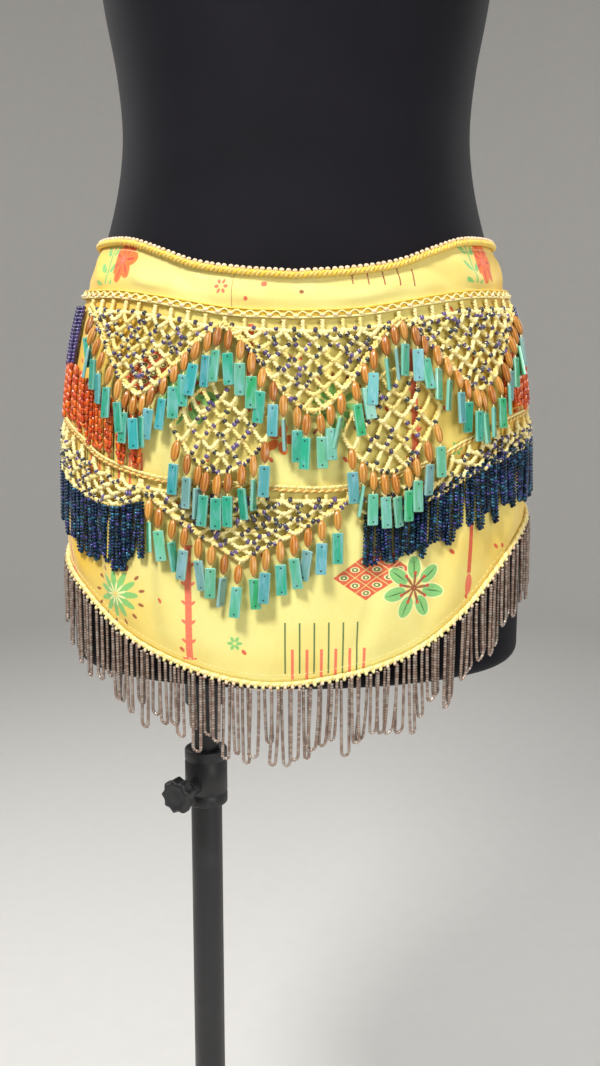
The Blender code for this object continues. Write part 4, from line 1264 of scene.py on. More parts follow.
# -------------------------------------------------------------------- cloth
def crease_out(along, height, creases):
    """How far the creases move the cloth away from the form."""
    out = np.zeros(np.broadcast(along, height).shape)
    for top_along, top_height, foot_along, foot_height, half_width, depth in creases:
        line = np.array((foot_along - top_along, foot_height - top_height))
        length = np.hypot(*line)
        way = line / length
        x, y = along - top_along, height - top_height
        down = x * way[0] + y * way[1]
        bow = 0.12 * length * np.sin(np.clip(down / length, 0, 1) * math.pi) * np.sign(depth)
        across = x * way[1] - y * way[0] - 0.5 * bow
        taper = smooth_step(down, -0.25 * length, 0.35 * length)
        taper = taper * smooth_step(-down, -1.25 * length, -0.70 * length)
        out = out + depth * taper * np.exp(-(across / half_width) ** 2)
    return out


def unevenness(along, height):
    """Slow, slight waves that no worn cloth is without."""
    total = sum(share * np.sin(along * round_belt + height * up_belt + start)
                for share, round_belt, up_belt, start in WAVES)
    return WAVE_HEIGHT * total


def lap_free(along):
    """The two ends that lap at the back lie flat."""
    return 1 - smooth_step(np.abs(along), HALF_GIRTH - LAP_RISE - 10 * MM, HALF_GIRTH - LAP)


def skirt_free(along, height):
    """1 where nothing lies close on the cloth, less under lace and at the edges."""
    nets = [side_net_edge(side)(along) for side in ("left", "right")]
    covered = np.minimum(low_edge(along), np.where(along < LOW_CENTRE, *nets) - 2 * MM)
    below_lace = smooth_step(covered - height, -4 * MM, 14 * MM)
    no_lace = smooth_step(np.abs(along), 0.264, 0.284)
    no_lace = no_lace * smooth_step(band_seam(along) - height, 4 * MM, 18 * MM)
    free = np.maximum(below_lace, no_lace)
    above_hem = smooth_step(height - hem(along), -2 * MM, 14 * MM)
    return free * (0.2 + 0.8 * above_hem) * lap_free(along)


def band_free(along, height):
    in_band = smooth_step(top_edge(along) - height, -1 * MM, 7 * MM)
    in_band = in_band * smooth_step(height - band_seam(along), 3.0 * MM, 10 * MM)
    return (0.1 + 0.9 * in_band) * lap_free(along)


def cloth_out(along, height, creases, free):
    """Middle of the cloth, out from the form."""
    loose = free(along, height)
    move = crease_out(along, height, creases)
    move = np.clip(move, -2.0 * MM, 3.2 * MM) + LOOSE_LIFT
    return CLOTH_MIDDLE + loose * move + (0.35 + 0.65 * loose) * unevenness(along, height)


def skirt_out(along, height):
    return cloth_out(along, height, SKIRT_CREASES, skirt_free)


def band_out(along, height):
    return cloth_out(along, height, BAND_CREASES, band_free)


def shade_under(along, height):
    """Painted shade on the cloth: darker behind the lace, and a little darker behind the drops."""
    def between(top, foot, soft=3 * MM):
        return smooth_step(top - height, -soft, soft) * smooth_step(height - foot, -soft, soft)

    in_upper = smooth_step(3 * UPPER_HALF - np.abs(along - UPPER_CENTRE), -4 * MM, 0)
    in_low = smooth_step(LOW_HALF - np.abs(along - LOW_CENTRE), -4 * MM, 0)
    seam, line = band_seam(along), low_line(along)
    lace = np.maximum(in_upper * between(seam, upper_edge(along)), in_low * between(line, low_edge(along)))
    for side, start, cells, half_pitch, _ in SIDE_NETS:
        middle = start + cells * half_pitch
        inside = smooth_step(cells * half_pitch - np.abs(along - middle), -4 * MM, 4 * MM)
        lace = np.maximum(lace, inside * between(line, side_net_edge(side)(along)))
    drops = np.maximum(in_upper * between(upper_edge(along), upper_edge(along) - DROP_FALL, 9 * MM),
                       in_low * between(low_edge(along), low_edge(along) - DROP_FALL, 9 * MM))
    for diamond in DIAMONDS:
        inside = smooth_step(DIAMOND_HALF - np.abs(along - diamond[1]), -4 * MM, 0)
        upper, lower = (diamond_edge(diamond, lower)(along) for lower in (False, True))
        lace = np.maximum(lace, inside * between(upper, lower))
        drops = np.maximum(drops, inside * between(lower, lower - DROP_FALL, 9 * MM))
    painted_shade = np.maximum(lace, 0.35 * drops)[..., None]
    return 1 - painted_shade * (1 - np.array(LACE_SHADE))


def cloth_shell(name, material, replaced, tops, feet, rows, out_at):
    """Thin closed shell of cloth.  Returns it with its middle's area and two sides."""
    along = steps_along(BELT_START, BELT_END, CLOTH_STEP)
    share = np.linspace(0, 1, rows)[:, None]
    height = (1 - share) * tops(along)[None, :] + share * feet(along)[None, :]
    wide = np.broadcast_to(along[None, :], height.shape)
    middle = out_at(wide, height)
    points = np.stack((place(wide, height, middle + CLOTH_THICK / 2),
                       place(wide, height, middle - CLOTH_THICK / 2)))
    columns = len(along)
    outer = grid_faces(rows, columns)
    inner = outer[:, ::-1] + rows * columns
    rim = np.concatenate((np.arange(columns), (np.arange(1, rows)) * columns + columns - 1,
                          (rows - 1) * columns + np.arange(columns - 2, -1, -1),
                          np.arange(rows - 2, 0, -1) * columns))
    following = np.roll(rim, -1)
    edge = np.stack((rim, rim + rows * columns, following + rows * columns, following), axis=1)
    pile = Pile()
    # Painted shade behind the lace and drops, carried in the tint attribute.
    shade = shade_under(wide, height).reshape(-1, 3)
    pile.add(points, [outer[:, ::-1], inner[:, ::-1], edge[:, ::-1]], np.concatenate((shade, shade)))
    flat = np.stack((wide, height), axis=-1).reshape(-1, 2)
    thing = pile.piece(name, material, "print_cloth", [replaced], uv=np.concatenate((flat, flat)))
    sheet = place(wide, height, middle)
    across, down = np.diff(sheet, axis=1), np.diff(sheet, axis=0)
    area = np.linalg.norm(np.cross(across[:-1], down[:, :-1]), axis=-1).sum()
    length = np.linalg.norm(across, axis=-1)[0].sum()
    tall = np.linalg.norm(down, axis=-1).sum(axis=0).max()
    return thing, float(area), float(length), float(tall)


def build_cloth():
    band = cloth_shell("waist_band_cloth",
                       print_material("print_band", BAND_PRINT_START, band_motifs), "waist_band",
                       lambda a: top_edge(a) + EDGE_TUCK, lambda a: band_seam(a) + SEAM_GAP,
                       BAND_ROWS, band_out)
    skirt = cloth_shell("skirt_cloth",
                        print_material("print_skirt", SKIRT_PRINT_START, skirt_motifs), "skirt_panel",
                        lambda a: band_seam(a) - SEAM_GAP, lambda a: hem(a) - EDGE_TUCK,
                        SKIRT_ROWS, skirt_out)
    return band, skirt


def build_stitches(thread):
    """Machine stitches that hold the folded edges at the band's top and the hem."""
    pile = Pile()
    rows = ((lambda a: top_edge(a) - 2.6 * MM, band_out), (lambda a: hem(a) + 3.4 * MM, skirt_out))
    for line, out_at in rows:
        along = steps_along(TRIM_START + 2 * MM, BELT_END - 2 * MM, 3.5 * MM)
        height = line(along)
        ends = [place(along + step, line(along + step),
                      out_at(along + step, line(along + step)) + CLOTH_THICK / 2 + 0.06 * MM)
                for step in (-1.1 * MM, 1.1 * MM)]
        add_beads(pile, (ends[0] + ends[1]) / 2, ends[1] - ends[0], BUGLE_BEAD, 5, 0.24 * MM,
                  1.2 * MM, np.tile(YARN_CREAM, (len(height), 1)))
    return pile.piece("edge_stitches", thread, "cotton_cord", [])


# -------------------------------------------------------------------- trims
def line_points(start, end, height_at, out, step=2 * MM):
    along = steps_along(start, end, step)
    return resampled(place(along, height_at(along), out), step)


def ways_along(along, height):
    """Directions along the belt at places of a line."""
    return place(along + MM, height, 0.0) - place(along, height, 0.0)


def build_top_trim(yarn):
    """Twisted yellow cord with small pale picots along its upper side."""
    pile = Pile()
    centre = line_points(TRIM_START, BELT_END, lambda a: top_edge(a) + TRIM_DROP, EDGE_CORD_OUT)
    add_twist(pile, centre, 2.5 * MM, 9.0 * MM, YARN_YELLOW, plies=3, sides=6,
              second=(0.84, 0.60, 0.13))
    along = steps_along(TRIM_START + 4 * MM, BELT_END - 4 * MM, 4.6 * MM)
    along = along + random.uniform(-0.4, 0.4, len(along)) * MM
    picots = place(along, top_edge(along) + TRIM_DROP + 2.6 * MM, EDGE_CORD_OUT + 0.3 * MM)
    add_beads(pile, picots, ways_along(along, top_edge(along)), KNOT, 6, 1.35 * MM, 1.7 * MM,
              pick([YARN_PINK], len(along), 0.08))
    return pile.piece("top_trim_cord", yarn, "cotton_cord", ["top_trim"])


def build_hem_cord(yarn):
    """Yellow cord along the hem, with picots that the fringe hangs from."""
    pile = Pile()
    centre = line_points(TRIM_START, BELT_END, lambda a: hem(a) - TRIM_DROP,
                         EDGE_CORD_OUT - 0.6 * MM)
    add_twist(pile, centre, 2.1 * MM, 7.0 * MM, YARN_EDGE, plies=3, sides=6,
              second=YARN_CREAM)
    along = steps_along(TRIM_START + 4 * MM, BELT_END - 4 * MM, 4.8 * MM)
    picots = place(along, hem(along) - TRIM_DROP - 2.0 * MM, EDGE_CORD_OUT + 0.6 * MM)
    ways = np.tile((0.0, 0.0, 1.0), (len(along), 1))
    add_beads(pile, picots, ways, KNOT, 6, 1.3 * MM, 1.5 * MM,
              pick([YARN_PINK, YARN_CREAM], len(along)))
    return pile.piece("hem_cord_twist", yarn, "cotton_cord", ["hem_cord"])


def build_band_trim(yarn):
    """Picot braid over the band's seam: two cords with scallops between them."""
    pile = Pile()
    along = steps_along(TRIM_START, BELT_END, 3 * MM)
    backing = []
    for offset, out in ((2.4 * MM, 4.0 * MM), (-2.4 * MM, 4.0 * MM),
                        (-2.4 * MM, 3.4 * MM), (2.4 * MM, 3.4 * MM)):
        backing.append(place(along, band_seam(along) + offset, out))
    pile.add(np.stack(backing, axis=1), tube_faces(len(along), 4), YARN_YELLOW)
    for offset, radius, tint in ((2.3 * MM, 0.75 * MM, YARN_YELLOW), (-2.2 * MM, 1.0 * MM, YARN_CREAM)):
        centre = line_points(TRIM_START, BELT_END, lambda a: band_seam(a) + offset, 4.6 * MM)
        add_twist(pile, centre, radius, 4.5 * MM, tint, sides=5)
    pitch = 8.7 * MM
    fine = steps_along(TRIM_START, BELT_END, 1.1 * MM)
    wave = np.abs(np.sin(math.pi * (fine - TRIM_START) / pitch))
    centre = place(fine, band_seam(fine) - 1.7 * MM + 3.1 * MM * wave, 4.9 * MM)
    add_tube(pile, centre, 0.55 * MM, 5, YARN_CREAM)
    spots = np.arange(TRIM_START + pitch, BELT_END - 2 * MM, pitch)
    knots = place(spots, band_seam(spots) - 1.0 * MM, 5.3 * MM)
    add_beads(pile, knots, ways_along(spots, band_seam(spots)), KNOT, 6, 1.2 * MM, 1.9 * MM,
              pick([YARN_PINK, YARN_CREAM], len(spots)))
    return pile.piece("band_trim_braid", yarn, "picot_trim", ["band_trim"])


def build_low_trim(yarn):
    """Two twisted cords side by side, from which the lower lace hangs."""
    pile = Pile()
    # The lower cord has a gold-brown ply, as painted shadow of the drops.
    for offset, phase, first, second in ((1.2 * MM, 0.0, YARN_EDGE, YARN_CREAM),
                                         (-1.2 * MM, 2.0, YARN_GOLD_PAINTED_SHADOW, YARN_EDGE)):
        centre = line_points(*LOW_TRIM_ENDS, lambda a: low_line(a) + offset, 4.5 * MM, 1.4 * MM)
        add_twist(pile, centre, 1.25 * MM, 5.0 * MM, first, sides=6, phase=phase, second=second)
    return pile.piece("low_trim_cords", yarn, "cotton_cord", ["low_trim"])


# --------------------------------------------------------------------- lace
class Lace:
    """Crochet mesh: rows of hanging arches, knotted to the row above."""

    def __init__(self, flat_point, cord_radius=1.8 * MM):
        self.flat_point = flat_point
        self.cord_radius = cord_radius
        self.pile = Pile()
        self.beads = Pile()
        self.knots = {}

    def knot(self, i, j):
        """Place of a knot, as along and height, moved a little off the lattice."""
        if (i, j) not in self.knots:
            self.knots[(i, j)] = np.array(self.flat_point(i, j)) + random.normal(0, KNOT_SHIFT, 2)
        return self.knots[(i, j)]

    def cord(self, flat, out, radius=None, tint=None, pitch=4.2 * MM):
        flat = np.asarray(flat)
        centre = resampled(place(flat[:, 0], flat[:, 1], out), 1.4 * MM)
        shade = pick(CORD_COLOURS, 1, 0.06)[0] if tint is None else tint
        add_twist(self.pile, centre, radius or self.cord_radius, pitch, shade, sides=5,
                  phase=random.uniform(0, 6.28))

    def arch(self, i, j, beads=True):
        """Arch between two knots of row j, which hangs down to the row below."""
        a, b = self.knot(i - 1, j), self.knot(i + 1, j)
        low = self.knot(i, j + 1)
        t = np.linspace(-1, 1, 15)
        middle = (a + b) / 2
        sag = (1 - np.abs(t) ** 1.4)[:, None]
        flat = middle + (b - a) / 2 * t[:, None] + (low - middle) * sag
        rise = 1.9 * MM * (1 - t * t) + random.uniform(-0.2, 0.3) * MM
        self.cord(flat, LACE_OUT + rise)
        if beads:
            for side in (-1, 1):
                for reach in SEED_REACHES:
                    if random.random() < SEED_SHARE:
                        t_bead = side * (reach + random.uniform(-0.07, 0.07))
                        at = np.array([np.interp(t_bead, t, flat[:, k]) for k in (0, 1)])
                        near = np.array([np.interp(t_bead + 0.05, t, flat[:, k]) for k in (0, 1)])
                        self.bead(at, near - at, LACE_OUT + 2.2 * MM * (1 - t_bead ** 2))

    def bead(self, at, way, out=LACE_OUT + 0.4 * MM):
        radius = random.uniform(1.6, 2.2) * MM
        centre = place(at[0], at[1], out)[None]
        tip = place(at[0] + way[0], at[1] + way[1], out)[None]
        add_beads(self.beads, centre, tip - centre, ROUND_BEAD, 7, radius, 1.5 * MM,
                  pick(SEED_COLOURS, 1))

    def bar(self, top, foot):
        """Upright bar of the first row, between the trim and a knot."""
        self.cord(np.linspace(top, foot, 5), LACE_OUT + 0.1 * MM)

    def edge(self, flat, out=LACE_OUT + 1.0 * MM, radius=2.0 * MM):
        """Thicker double cord that finishes an edge."""
        self.cord(flat, out, radius, YARN_EDGE, 6.0 * MM)

    def tie_knots(self):
        for at in self.knots.values():
            centre = place(at[0], at[1], LACE_OUT + 0.3 * MM)[None]
            add_beads(self.pile, centre, random.normal(0, 1, (1, 3)) + (0, 0, 1.5), KNOT, 6,
                      2.1 * MM, 1.9 * MM, pick(CORD_COLOURS, 1))

    def finish(self, name, yarn, glass, replaced):
        self.tie_knots()
        lace = self.pile.piece(name, yarn, "crochet_lace", [replaced])
        seeds = self.beads.piece(name + "_seeds", glass, "blue_beads", [])
        return lace, seeds


def point_rows(lace, middle, rows, line):
    """Net that narrows to one point, below a row of windows under a trim."""
    for i in range(middle - rows, middle + rows + 1, 2):
        foot = lace.knot(i, 0)
        lace.bar((foot[0], line(foot[0])), foot)
        if i < middle + rows:
            next_foot = lace.knot(i + 2, 0)
            lace.cord(np.linspace(foot, next_foot, 6), LACE_OUT)
            third = foot + (next_foot - foot) * random.uniform(0.3, 0.7)
            lace.bead(third + (0, 0.9 * MM), next_foot - foot)
    for j in range(rows):
        for i in range(middle - rows + 1 + j, middle + rows - j, 2):
            lace.arch(i, j, beads=j < rows - 1)


def zigzag(edge, start, end, turns):
    """Places along an edge with corners kept at the turns."""
    along = np.unique(np.concatenate((steps_along(start, end, 3 * MM), turns)))
    return np.stack((along, edge(along)), axis=1)


def build_lace(yarn, glass):
    pieces = []
    half = UPPER_HALF / UPPER_ROWS

    def upper_point(i, j):
        along = UPPER_CENTRE + i * half
        turns = upper_turns(along)
        rows = max(round(UPPER_ROWS * (1 - turns)), 1)
        depth = upper_share(turns) * (UPPER_DEPTH - UPPER_WINDOW)
        return along, upper_top(along) - UPPER_WINDOW - j / rows * depth

    upper = Lace(upper_point)
    for middle in (-2 * UPPER_ROWS, 0, 2 * UPPER_ROWS):
        point_rows(upper, middle, UPPER_ROWS, upper_top)
    start, end = UPPER_CENTRE - 3 * UPPER_HALF, UPPER_CENTRE + 3 * UPPER_HALF
    turns = UPPER_CENTRE + UPPER_HALF * np.arange(-3, 4)
    upper.edge(zigzag(upper_edge, start, end, turns))
    pieces += upper.finish("upper_lace", yarn, glass, "lace_upper")

    for row in DIAMONDS:
        side, centre, height, rise, tilt = row

        def diamond_point(i, j):
            aside = i * DIAMOND_HALF / DIAMOND_ROWS
            rows = max(DIAMOND_ROWS - abs(i), 1)
            return centre + aside, height + tilt * aside - j / rows * diamond_share(aside) * rise

        diamond = Lace(diamond_point)
        for j in range(-DIAMOND_ROWS + 1, DIAMOND_ROWS):
            span = DIAMOND_ROWS - 1 - abs(j)
            for i in range(-span, span + 1, 2):
                diamond.arch(i, j)
        ends = (centre - DIAMOND_HALF, centre + DIAMOND_HALF)
        for lower in (True, False):
            diamond.edge(zigzag(diamond_edge(row, lower), *ends, np.array([centre])), radius=1.6 * MM)
        pieces += diamond.finish("diamond_lace_" + side, yarn, glass, "lace_diamond_" + side)

    low_half = LOW_HALF / LOW_ROWS
    low_level = (LOW_DEPTH - LOW_WINDOW) / LOW_ROWS

    def low_point(i, j):
        along = LOW_CENTRE + i * low_half
        return along, low_top(along) - LOW_WINDOW - j * low_level

    low = Lace(low_point)
    point_rows(low, 0, LOW_ROWS, low_top)
    low.edge(zigzag(low_edge, LOW_CENTRE - LOW_HALF, LOW_CENTRE + LOW_HALF, np.array([LOW_CENTRE])))
    pieces += low.finish("low_lace_point", yarn, glass, "lace_low_point")

    for side, start, cells, half_pitch, rows in SIDE_NETS:
        edge = side_net_edge(side)

        def side_point(i, j):
            along = start + i * half_pitch
            top = low_top(along) - SIDE_WINDOW
            return along, top + (edge(along) - top) * j / rows

        net = Lace(side_point)
        for i in range(0, 2 * cells + 1, 2):
            foot = net.knot(i, 0)
            net.bar((foot[0], low_top(foot[0])), foot)
        for j in range(rows):
            for i in range(1 + j % 2, 2 * cells, 2):
                net.arch(i, j)
        net.edge(zigzag(edge, start, start + 2 * cells * half_pitch, np.array([start])),
                 radius=1.7 * MM)
        pieces += net.finish("low_lace_" + side, yarn, glass, "lace_low_" + side)
    return pieces


# -------------------------------------------------------------------- drops
def add_wheat(pile, centre, axis, tint):
    """Oval carved bead with lengthwise flutes."""
    t = np.linspace(-1, 1, WHEAT_ROWS)
    wide = np.sqrt(np.clip(1 - np.abs(t) ** 2.1, 0.03, 1)) * WHEAT_RADIUS
    wide *= random.uniform(0.9, 1.08)
    angle = np.linspace(0, 2 * math.pi, WHEAT_SIDES, endpoint=False)
    groove_and_painted_shade = 0.5 + 0.5 * np.cos(WHEAT_FLUTES * angle)
    flute = 1 - WHEAT_FLUTE_DEPTH * groove_and_painted_shade ** 2
    side = unit(np.cross(axis, outward(centre[None]))[0])
    up = np.cross(side, axis)
    tall = WHEAT_LENGTH / 2 * random.uniform(0.93, 1.05)
    ring = side * np.cos(angle)[:, None] + up * WHEAT_FLATNESS * np.sin(angle)[:, None]
    points = (centre + axis * (t * tall)[:, None, None]
              + ring[None] * (wide[:, None] * flute[None])[:, :, None])
    # The first local value is how deep in a groove a point lies, where the shader paints shade.
    local = np.stack(np.broadcast_arrays(
        groove_and_painted_shade[None] ** 2, t[:, None] * tall, angle[None] + random.uniform(0, 50)), axis=-1)
    pile.add(points, tube_faces(WHEAT_ROWS, WHEAT_SIDES), tint, local)


def add_plate(pile, centre, axis, facing, tint):
    """Flat tablet with rounded corners and softened edges, hung by its top."""
    side = unit(np.cross(axis, facing))
    front = np.cross(side, axis)
    half_x, half_z, half_y = PLATE_WIDTH / 2, PLATE_HEIGHT / 2, PLATE_THICK / 2
    section = []
    for sx, sy in ((1, 1), (-1, 1), (-1, -1), (1, -1)):
        for k in (0, 1):
            first = k if sx * sy > 0 else 1 - k
            section.append((sx * (half_x - PLATE_BEVEL * first),
                            sy * (half_y - PLATE_BEVEL * (1 - first))))
    section = np.array(section)
    levels = ((-half_z, *PLATE_END), (-half_z + PLATE_BEVEL, 1, 1),
              (half_z - PLATE_BEVEL, 1, 1), (half_z, *PLATE_END))
    rows, local = [], []
    for level, scale_x, scale_y in levels:
        x, y = section[:, 0] * scale_x, section[:, 1] * scale_y
        rows.append(centre + side * x[:, None] + front * y[:, None] + axis * level)
        local.append(np.stack((x, level + 0 * x, y), axis=1))
    pile.add(np.concatenate(rows), tube_faces(len(levels), len(section)), tint, np.concatenate(local))


def add_drop(piles, along, top, lift):
    """One drop: a thread, a carved oval bead and a tablet below it."""
    wheat, plate, thread = piles
    swing = random.normal(0, 0.05)
    out = DROP_OUT + lift + random.uniform(-0.4, 0.4) * MM
    fall = top - DROP_MARKS - random.uniform(-0.8, 0.8) * MM
    spots = place(along + swing * DROP_MARKS, fall, DROP_OUTS + out - DROP_OUT)
    add_tube(thread, resampled(spots[:4], 1.5 * MM), 0.55 * MM, 5, YARN_CREAM)
    way = unit(spots[2] - spots[0])
    add_wheat(wheat, spots[1], way, pick(WHEAT_COLOURS, 1)[0])
    twist = random.choice((random.normal(0, 0.28), random.uniform(0.9, 1.5)),
                          p=(1 - EDGE_ON_SHARE, EDGE_ON_SHARE))
    face = outward(spots[3][None])[0]
    across = np.array((-face[1], face[0], 0.0))
    facing = face * math.cos(twist) + across * math.sin(twist)
    hang = unit(spots[4] - spots[3] + random.normal(0, 0.0012, 3))
    centre = spots[3] + hang * (PLATE_HEIGHT / 2 - 1.2 * MM)
    add_plate(plate, centre, hang, facing, pick(SHELL_COLOURS, 1)[0])


def spots_about(centre, count, pitch):
    return centre + (np.arange(count) - (count - 1) / 2) * pitch


def build_drops(shell, carved, yarn):
    rows = [("upper", "drops_upper", upper_edge, UPPER_CENTRE, UPPER_DROPS, UPPER_DROP_PITCH, 0.0),
            ("low", "drops_low", low_edge, LOW_CENTRE, LOW_DROPS, LOW_DROP_PITCH, 0.0)]
    for row in DIAMONDS:
        side, centre = row[:2]
        rows.append(("diamond_" + side, "drops_diamond_" + side, diamond_edge(row, True), centre,
                     DIAMOND_DROPS, DIAMOND_DROP_PITCH, DIAMOND_DROP_LIFT))
    pieces = []
    for name, node, edge, centre, count, pitch, lift in rows:
        piles = Pile(), Pile(), Pile()
        for k, along in enumerate(spots_about(centre, count, pitch)):
            add_drop(piles, along + random.uniform(-0.9, 0.9) * MM, float(edge(along)),
                     lift + k % 2 * EVERY_OTHER_LIFT)
        pieces.append(piles[0].piece("wheat_beads_" + name, carved, "bead_drops", [node]))
        pieces.append(piles[1].piece("shell_tablets_" + name, shell, "bead_drops", [node], smooth=False))
        pieces.append(piles[2].piece("drop_threads_" + name, yarn, "cotton_cord", [node]))
    return pieces


# ----------------------------------------------------------------- fringes
def loop_line(left, right, top_left, top_right, length, pitch):
    """Places of the beads of one hanging loop: along, height and share of its drop."""
    half = (right - left) / 2
    straight = length - half
    whole = 2 * straight + math.pi * half
    count = max(6, round(whole / pitch))
    s = (np.arange(count) + 0.5) * whole / count
    turn = np.clip((s - straight) / half, 0, math.pi)
    along = (left + right) / 2 - half * np.cos(turn)
    drop = np.where(s < straight, s, np.where(s > whole - straight, whole - s,
                                              straight + half * np.sin(turn)))
    top = top_left + (top_right - top_left) * (along - left) / (right - left)
    return along, top - drop, drop / length


# What a fringe is threaded from.  Without a profile its beads are one rippled tube.
BeadKind = namedtuple("BeadKind", "profile sides pitch radius half_height colours")
BLUE_BEADS = BeadKind(ROUND_BEAD, 6, 2.25 * MM, 1.80 * MM, 1.06 * MM, IRIS_COLOURS)
ORANGE_BEADS = BeadKind(BUGLE_BEAD, 6, 5.4 * MM, 1.25 * MM, 2.45 * MM, FLAME_COLOURS)
PURPLE_BEADS = BeadKind(FULL_BEAD, 8, 2.5 * MM, 1.45 * MM, 1.18 * MM, VIOLET_COLOURS)
BRONZE_BEADS = BeadKind(None, 6, 1.80 * MM, 1.28 * MM, 0.0, BRONZE_COLOURS)

# How a fringe's loops hang: their length and its unevenness, how far out, how
# wide, and how far one loop lies in front of the next.
Hang = namedtuple("Hang", "length uneven out width layer_gap")
BLUE_HANG = Hang(39 * MM, 0.14, 5.9 * MM, 3.6 * MM, 1.4 * MM)
ORANGE_HANG = Hang(37 * MM, 0.12, 4.6 * MM, 3.6 * MM, 1.8 * MM)
PURPLE_HANG = Hang(40 * MM, 0.10, 5.6 * MM, 3.6 * MM, 1.0 * MM)
HEM_HANG = Hang(46 * MM, 0.18, 4.8 * MM, 4.6 * MM, 2.6 * MM)
HEM_LOOPS = 140


def fringe_loop(pile, k, middle, step, line, beads, hang):
    """One hanging loop of a fringe, a little different from the next."""
    middle = middle + random.normal(0, 0.12) * step
    half = hang.width / 2 * random.uniform(0.70, 1.30)
    reach = hang.length * (1 + random.uniform(-hang.uneven, hang.uneven))
    left, right = middle - half, middle + half
    along, height, share = loop_line(left, right, float(line(left)), float(line(right)), reach,
                                     beads.pitch)
    sway = random.normal(0, 1.3 * MM)
    narrow = random.uniform(-0.25, 0.12)
    along = along + sway * share ** 2 + (along - middle) * narrow * share
    lift = hang.out + hang.layer_gap * ((k % 2) - 0.5) + random.uniform(-0.2, 0.6) * MM * share
    centres = place(along, height, lift)
    tints = pick(beads.colours, len(centres))
    if beads.profile is None:
        add_strand(pile, centres, beads.radius, beads.sides, tints)
    else:
        add_beads(pile, centres, np.gradient(centres, axis=0), beads.profile, beads.sides,
                  beads.radius, beads.half_height, tints, spin=random.uniform(0, 1))


def fringe(names, material, slot, node, start, end, loops, line, beads, hang):
    """Row of hanging bead loops, shared evenly among the named pieces."""
    step = (end - start) / loops
    pieces = []
    for part, name in enumerate(names):
        pile = Pile()
        for k in range(part * loops // len(names), (part + 1) * loops // len(names)):
            fringe_loop(pile, k, start + (k + 0.5) * step, step, line, beads, hang)
        pieces.append(pile.piece(name, material, slot, [node]))
    return pieces


def build_fringes(iris, violet, flame, bronze):
    swag_edge = side_net_edge("left")

    def below_swag(along):
        return swag_edge(along) - 0.5 * MM

    def below_net(along):
        return low_line(along) - 19 * MM

    def above_low_line(along):
        return low_line(along) + 43.5 * MM

    def below_seam(along):
        return band_seam(along) - 8 * MM

    def below_hem(along):
        return hem(along) - 4.9 * MM

    # Colour, side, material, slot, start, end, loops, line, beads and hang.
    rows = (
        ("blue", "left", iris, "blue_beads", -0.209, -0.100, 20, below_swag, BLUE_BEADS, BLUE_HANG),
        ("blue", "right", iris, "blue_beads", 0.042, 0.248, 38, below_net, BLUE_BEADS, BLUE_HANG),
        ("orange", "left", flame, "orange_glass", -0.254, -0.1035, 28, above_low_line,
         ORANGE_BEADS, ORANGE_HANG),
        ("orange", "right", flame, "orange_glass", 0.157, 0.248, 17, above_low_line,
         ORANGE_BEADS, ORANGE_HANG),
        ("purple", "left", violet, "purple_beads", -0.254, -0.176, 13, below_seam,
         PURPLE_BEADS, PURPLE_HANG),
        ("purple", "right", violet, "purple_beads", 0.200, 0.248, 8, below_seam,
         PURPLE_BEADS, PURPLE_HANG),
    )
    pieces = []
    for colour, side, material, slot, *rest in rows:
        pieces += fringe([colour + "_loops_" + side], material, slot, colour + "_fringe_" + side,
                         *rest)
    pieces += fringe(["hem_loops_1", "hem_loops_2"], bronze, "bronze_beads", "hem_fringe",
                     TRIM_START + 4 * MM, BELT_END - 4 * MM, HEM_LOOPS, below_hem, BRONZE_BEADS,
                     HEM_HANG)
    return pieces


# ------------------------------------------------------------ studio, camera
def build_camera():
    camera = bpy.data.cameras.new("camera")
    camera.sensor_width = SENSOR
    camera.lens = SENSOR * FOCAL_PIXELS / PHOTO_HEIGHT
    thing = bpy.data.objects.new("camera", camera)
    thing.location = CAMERA_PLACE
    thing.rotation_euler = (math.pi / 2 - CAMERA_DOWN, 0, 0)
    bpy.context.scene.collection.objects.link(thing)
    bpy.context.scene.camera = thing


def area_light(name, location, target, size, power, colour):
    light = bpy.data.lights.new(name, "AREA")
    light.shape = "DISK"
    light.size = size
    light.energy = power
    light.color = colour
    thing = bpy.data.objects.new(name, light)
    thing.location = location
    thing.rotation_mode = "QUATERNION"
    thing.rotation_quaternion = (Vector(target) - Vector(location)).to_track_quat("-Z", "Y")
    bpy.context.scene.collection.objects.link(thing)


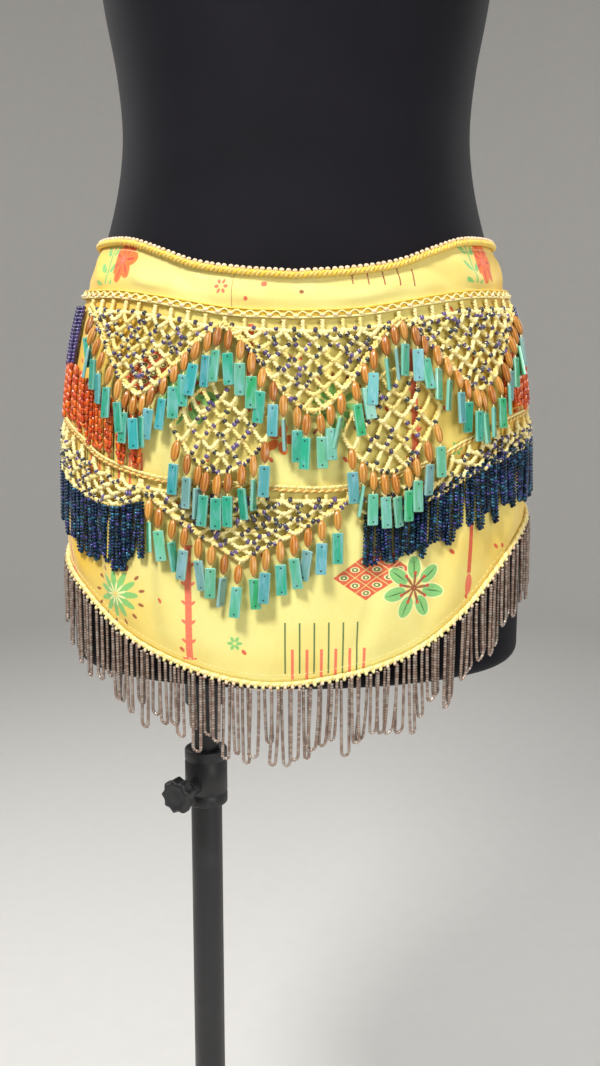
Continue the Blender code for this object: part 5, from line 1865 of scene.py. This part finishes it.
def build_studio():
    """Plain pale floor that bends up into a round wall, and soft lights."""
    pale = Shade("studio_floor", (0.74, 0.73, 0.71), Roughness=0.85)
    speck = pale.noise(pale.position(), 30, 3.0)
    pale.set("Base Color", pale.mix(speck, (0.72, 0.71, 0.69), (0.76, 0.75, 0.73)))
    turn = np.linspace(0, math.pi / 2, 17)
    radius = np.concatenate(([0.02], FLOOR_RADIUS + WALL_BEND * np.sin(turn),
                             [FLOOR_RADIUS + WALL_BEND]))
    rise = np.concatenate(([0], WALL_BEND * (1 - np.cos(turn)), [WALL_TOP]))
    way = np.linspace(0, 2 * math.pi, WALL_SIDES, endpoint=False)
    points = np.stack(np.broadcast_arrays(radius[:, None] * np.cos(way), radius[:, None] * np.sin(way),
                                          rise[:, None]), axis=-1).reshape(-1, 3)
    faces = [tuple(face) for face in grid_faces(len(radius), WALL_SIDES, wrap_columns=True)]
    mesh = bpy.data.meshes.new("bowl")
    mesh.from_pydata([tuple(point) for point in points], [], faces + [tuple(range(WALL_SIDES))])
    mesh.polygons.foreach_set("use_smooth", np.full(len(mesh.polygons), True))
    mesh.materials.append(pale.material)
    sweep = bpy.data.objects.new("bowl", mesh)
    bpy.context.scene.collection.objects.link(sweep)
    world = bpy.data.worlds.new("surround")
    bpy.context.scene.world = world
    world.use_nodes = True
    surround = world.node_tree.nodes["Background"]
    surround.inputs["Color"].default_value = (*SOFT_WHITE, 1)
    surround.inputs["Strength"].default_value = WORLD_LIGHT
    bpy.context.scene.view_settings.view_transform = "Standard"
    for row in LIGHTS:
        area_light(*row)


def main():
    build_camera()
    build_studio()
    yarn = yarn_material("cotton_yarn")
    glass = bead_material("dark_glass_seed", 0.16, 0.0, 1.0)
    iris = bead_material("iris_glass", 0.13, 0.45, 0.0, painted_glint=(0.030, 0.110, 0.240), index=1.40)
    violet = bead_material("violet_glass", 0.12, 0.25, 1.0, painted_glint=(0.060, 0.020, 0.180))
    flame = bead_material("flame_glass", 0.14, 0.0, 0.35, painted_glint=(0.80, 0.17, 0.012))
    bronze = bead_material("bronze_glass", 0.20, 0.25, 1.0)
    build_dress_form(form_material())
    metal = metal_material()
    build_base(metal)
    build_tubes(metal)
    build_clamp(plastic_material())
    build_flange(metal)
    band, skirt = build_cloth()
    trims = [build_stitches(yarn), build_top_trim(yarn), build_band_trim(yarn), build_low_trim(yarn)]
    hem_pieces = [build_hem_cord(yarn)]
    lace = build_lace(yarn, glass)
    drops = build_drops(shell_material(), wheat_material(), yarn)
    fringes = build_fringes(iris, violet, flame, bronze)
    for (cloth, area, length, width), extras in ((band, trims[:2]),
                                                 (skirt, trims[2:] + hem_pieces + lace + drops + fringes)):
        print(cloth.name, "area", area, "length", length, "width", width)
        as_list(extras)


main()
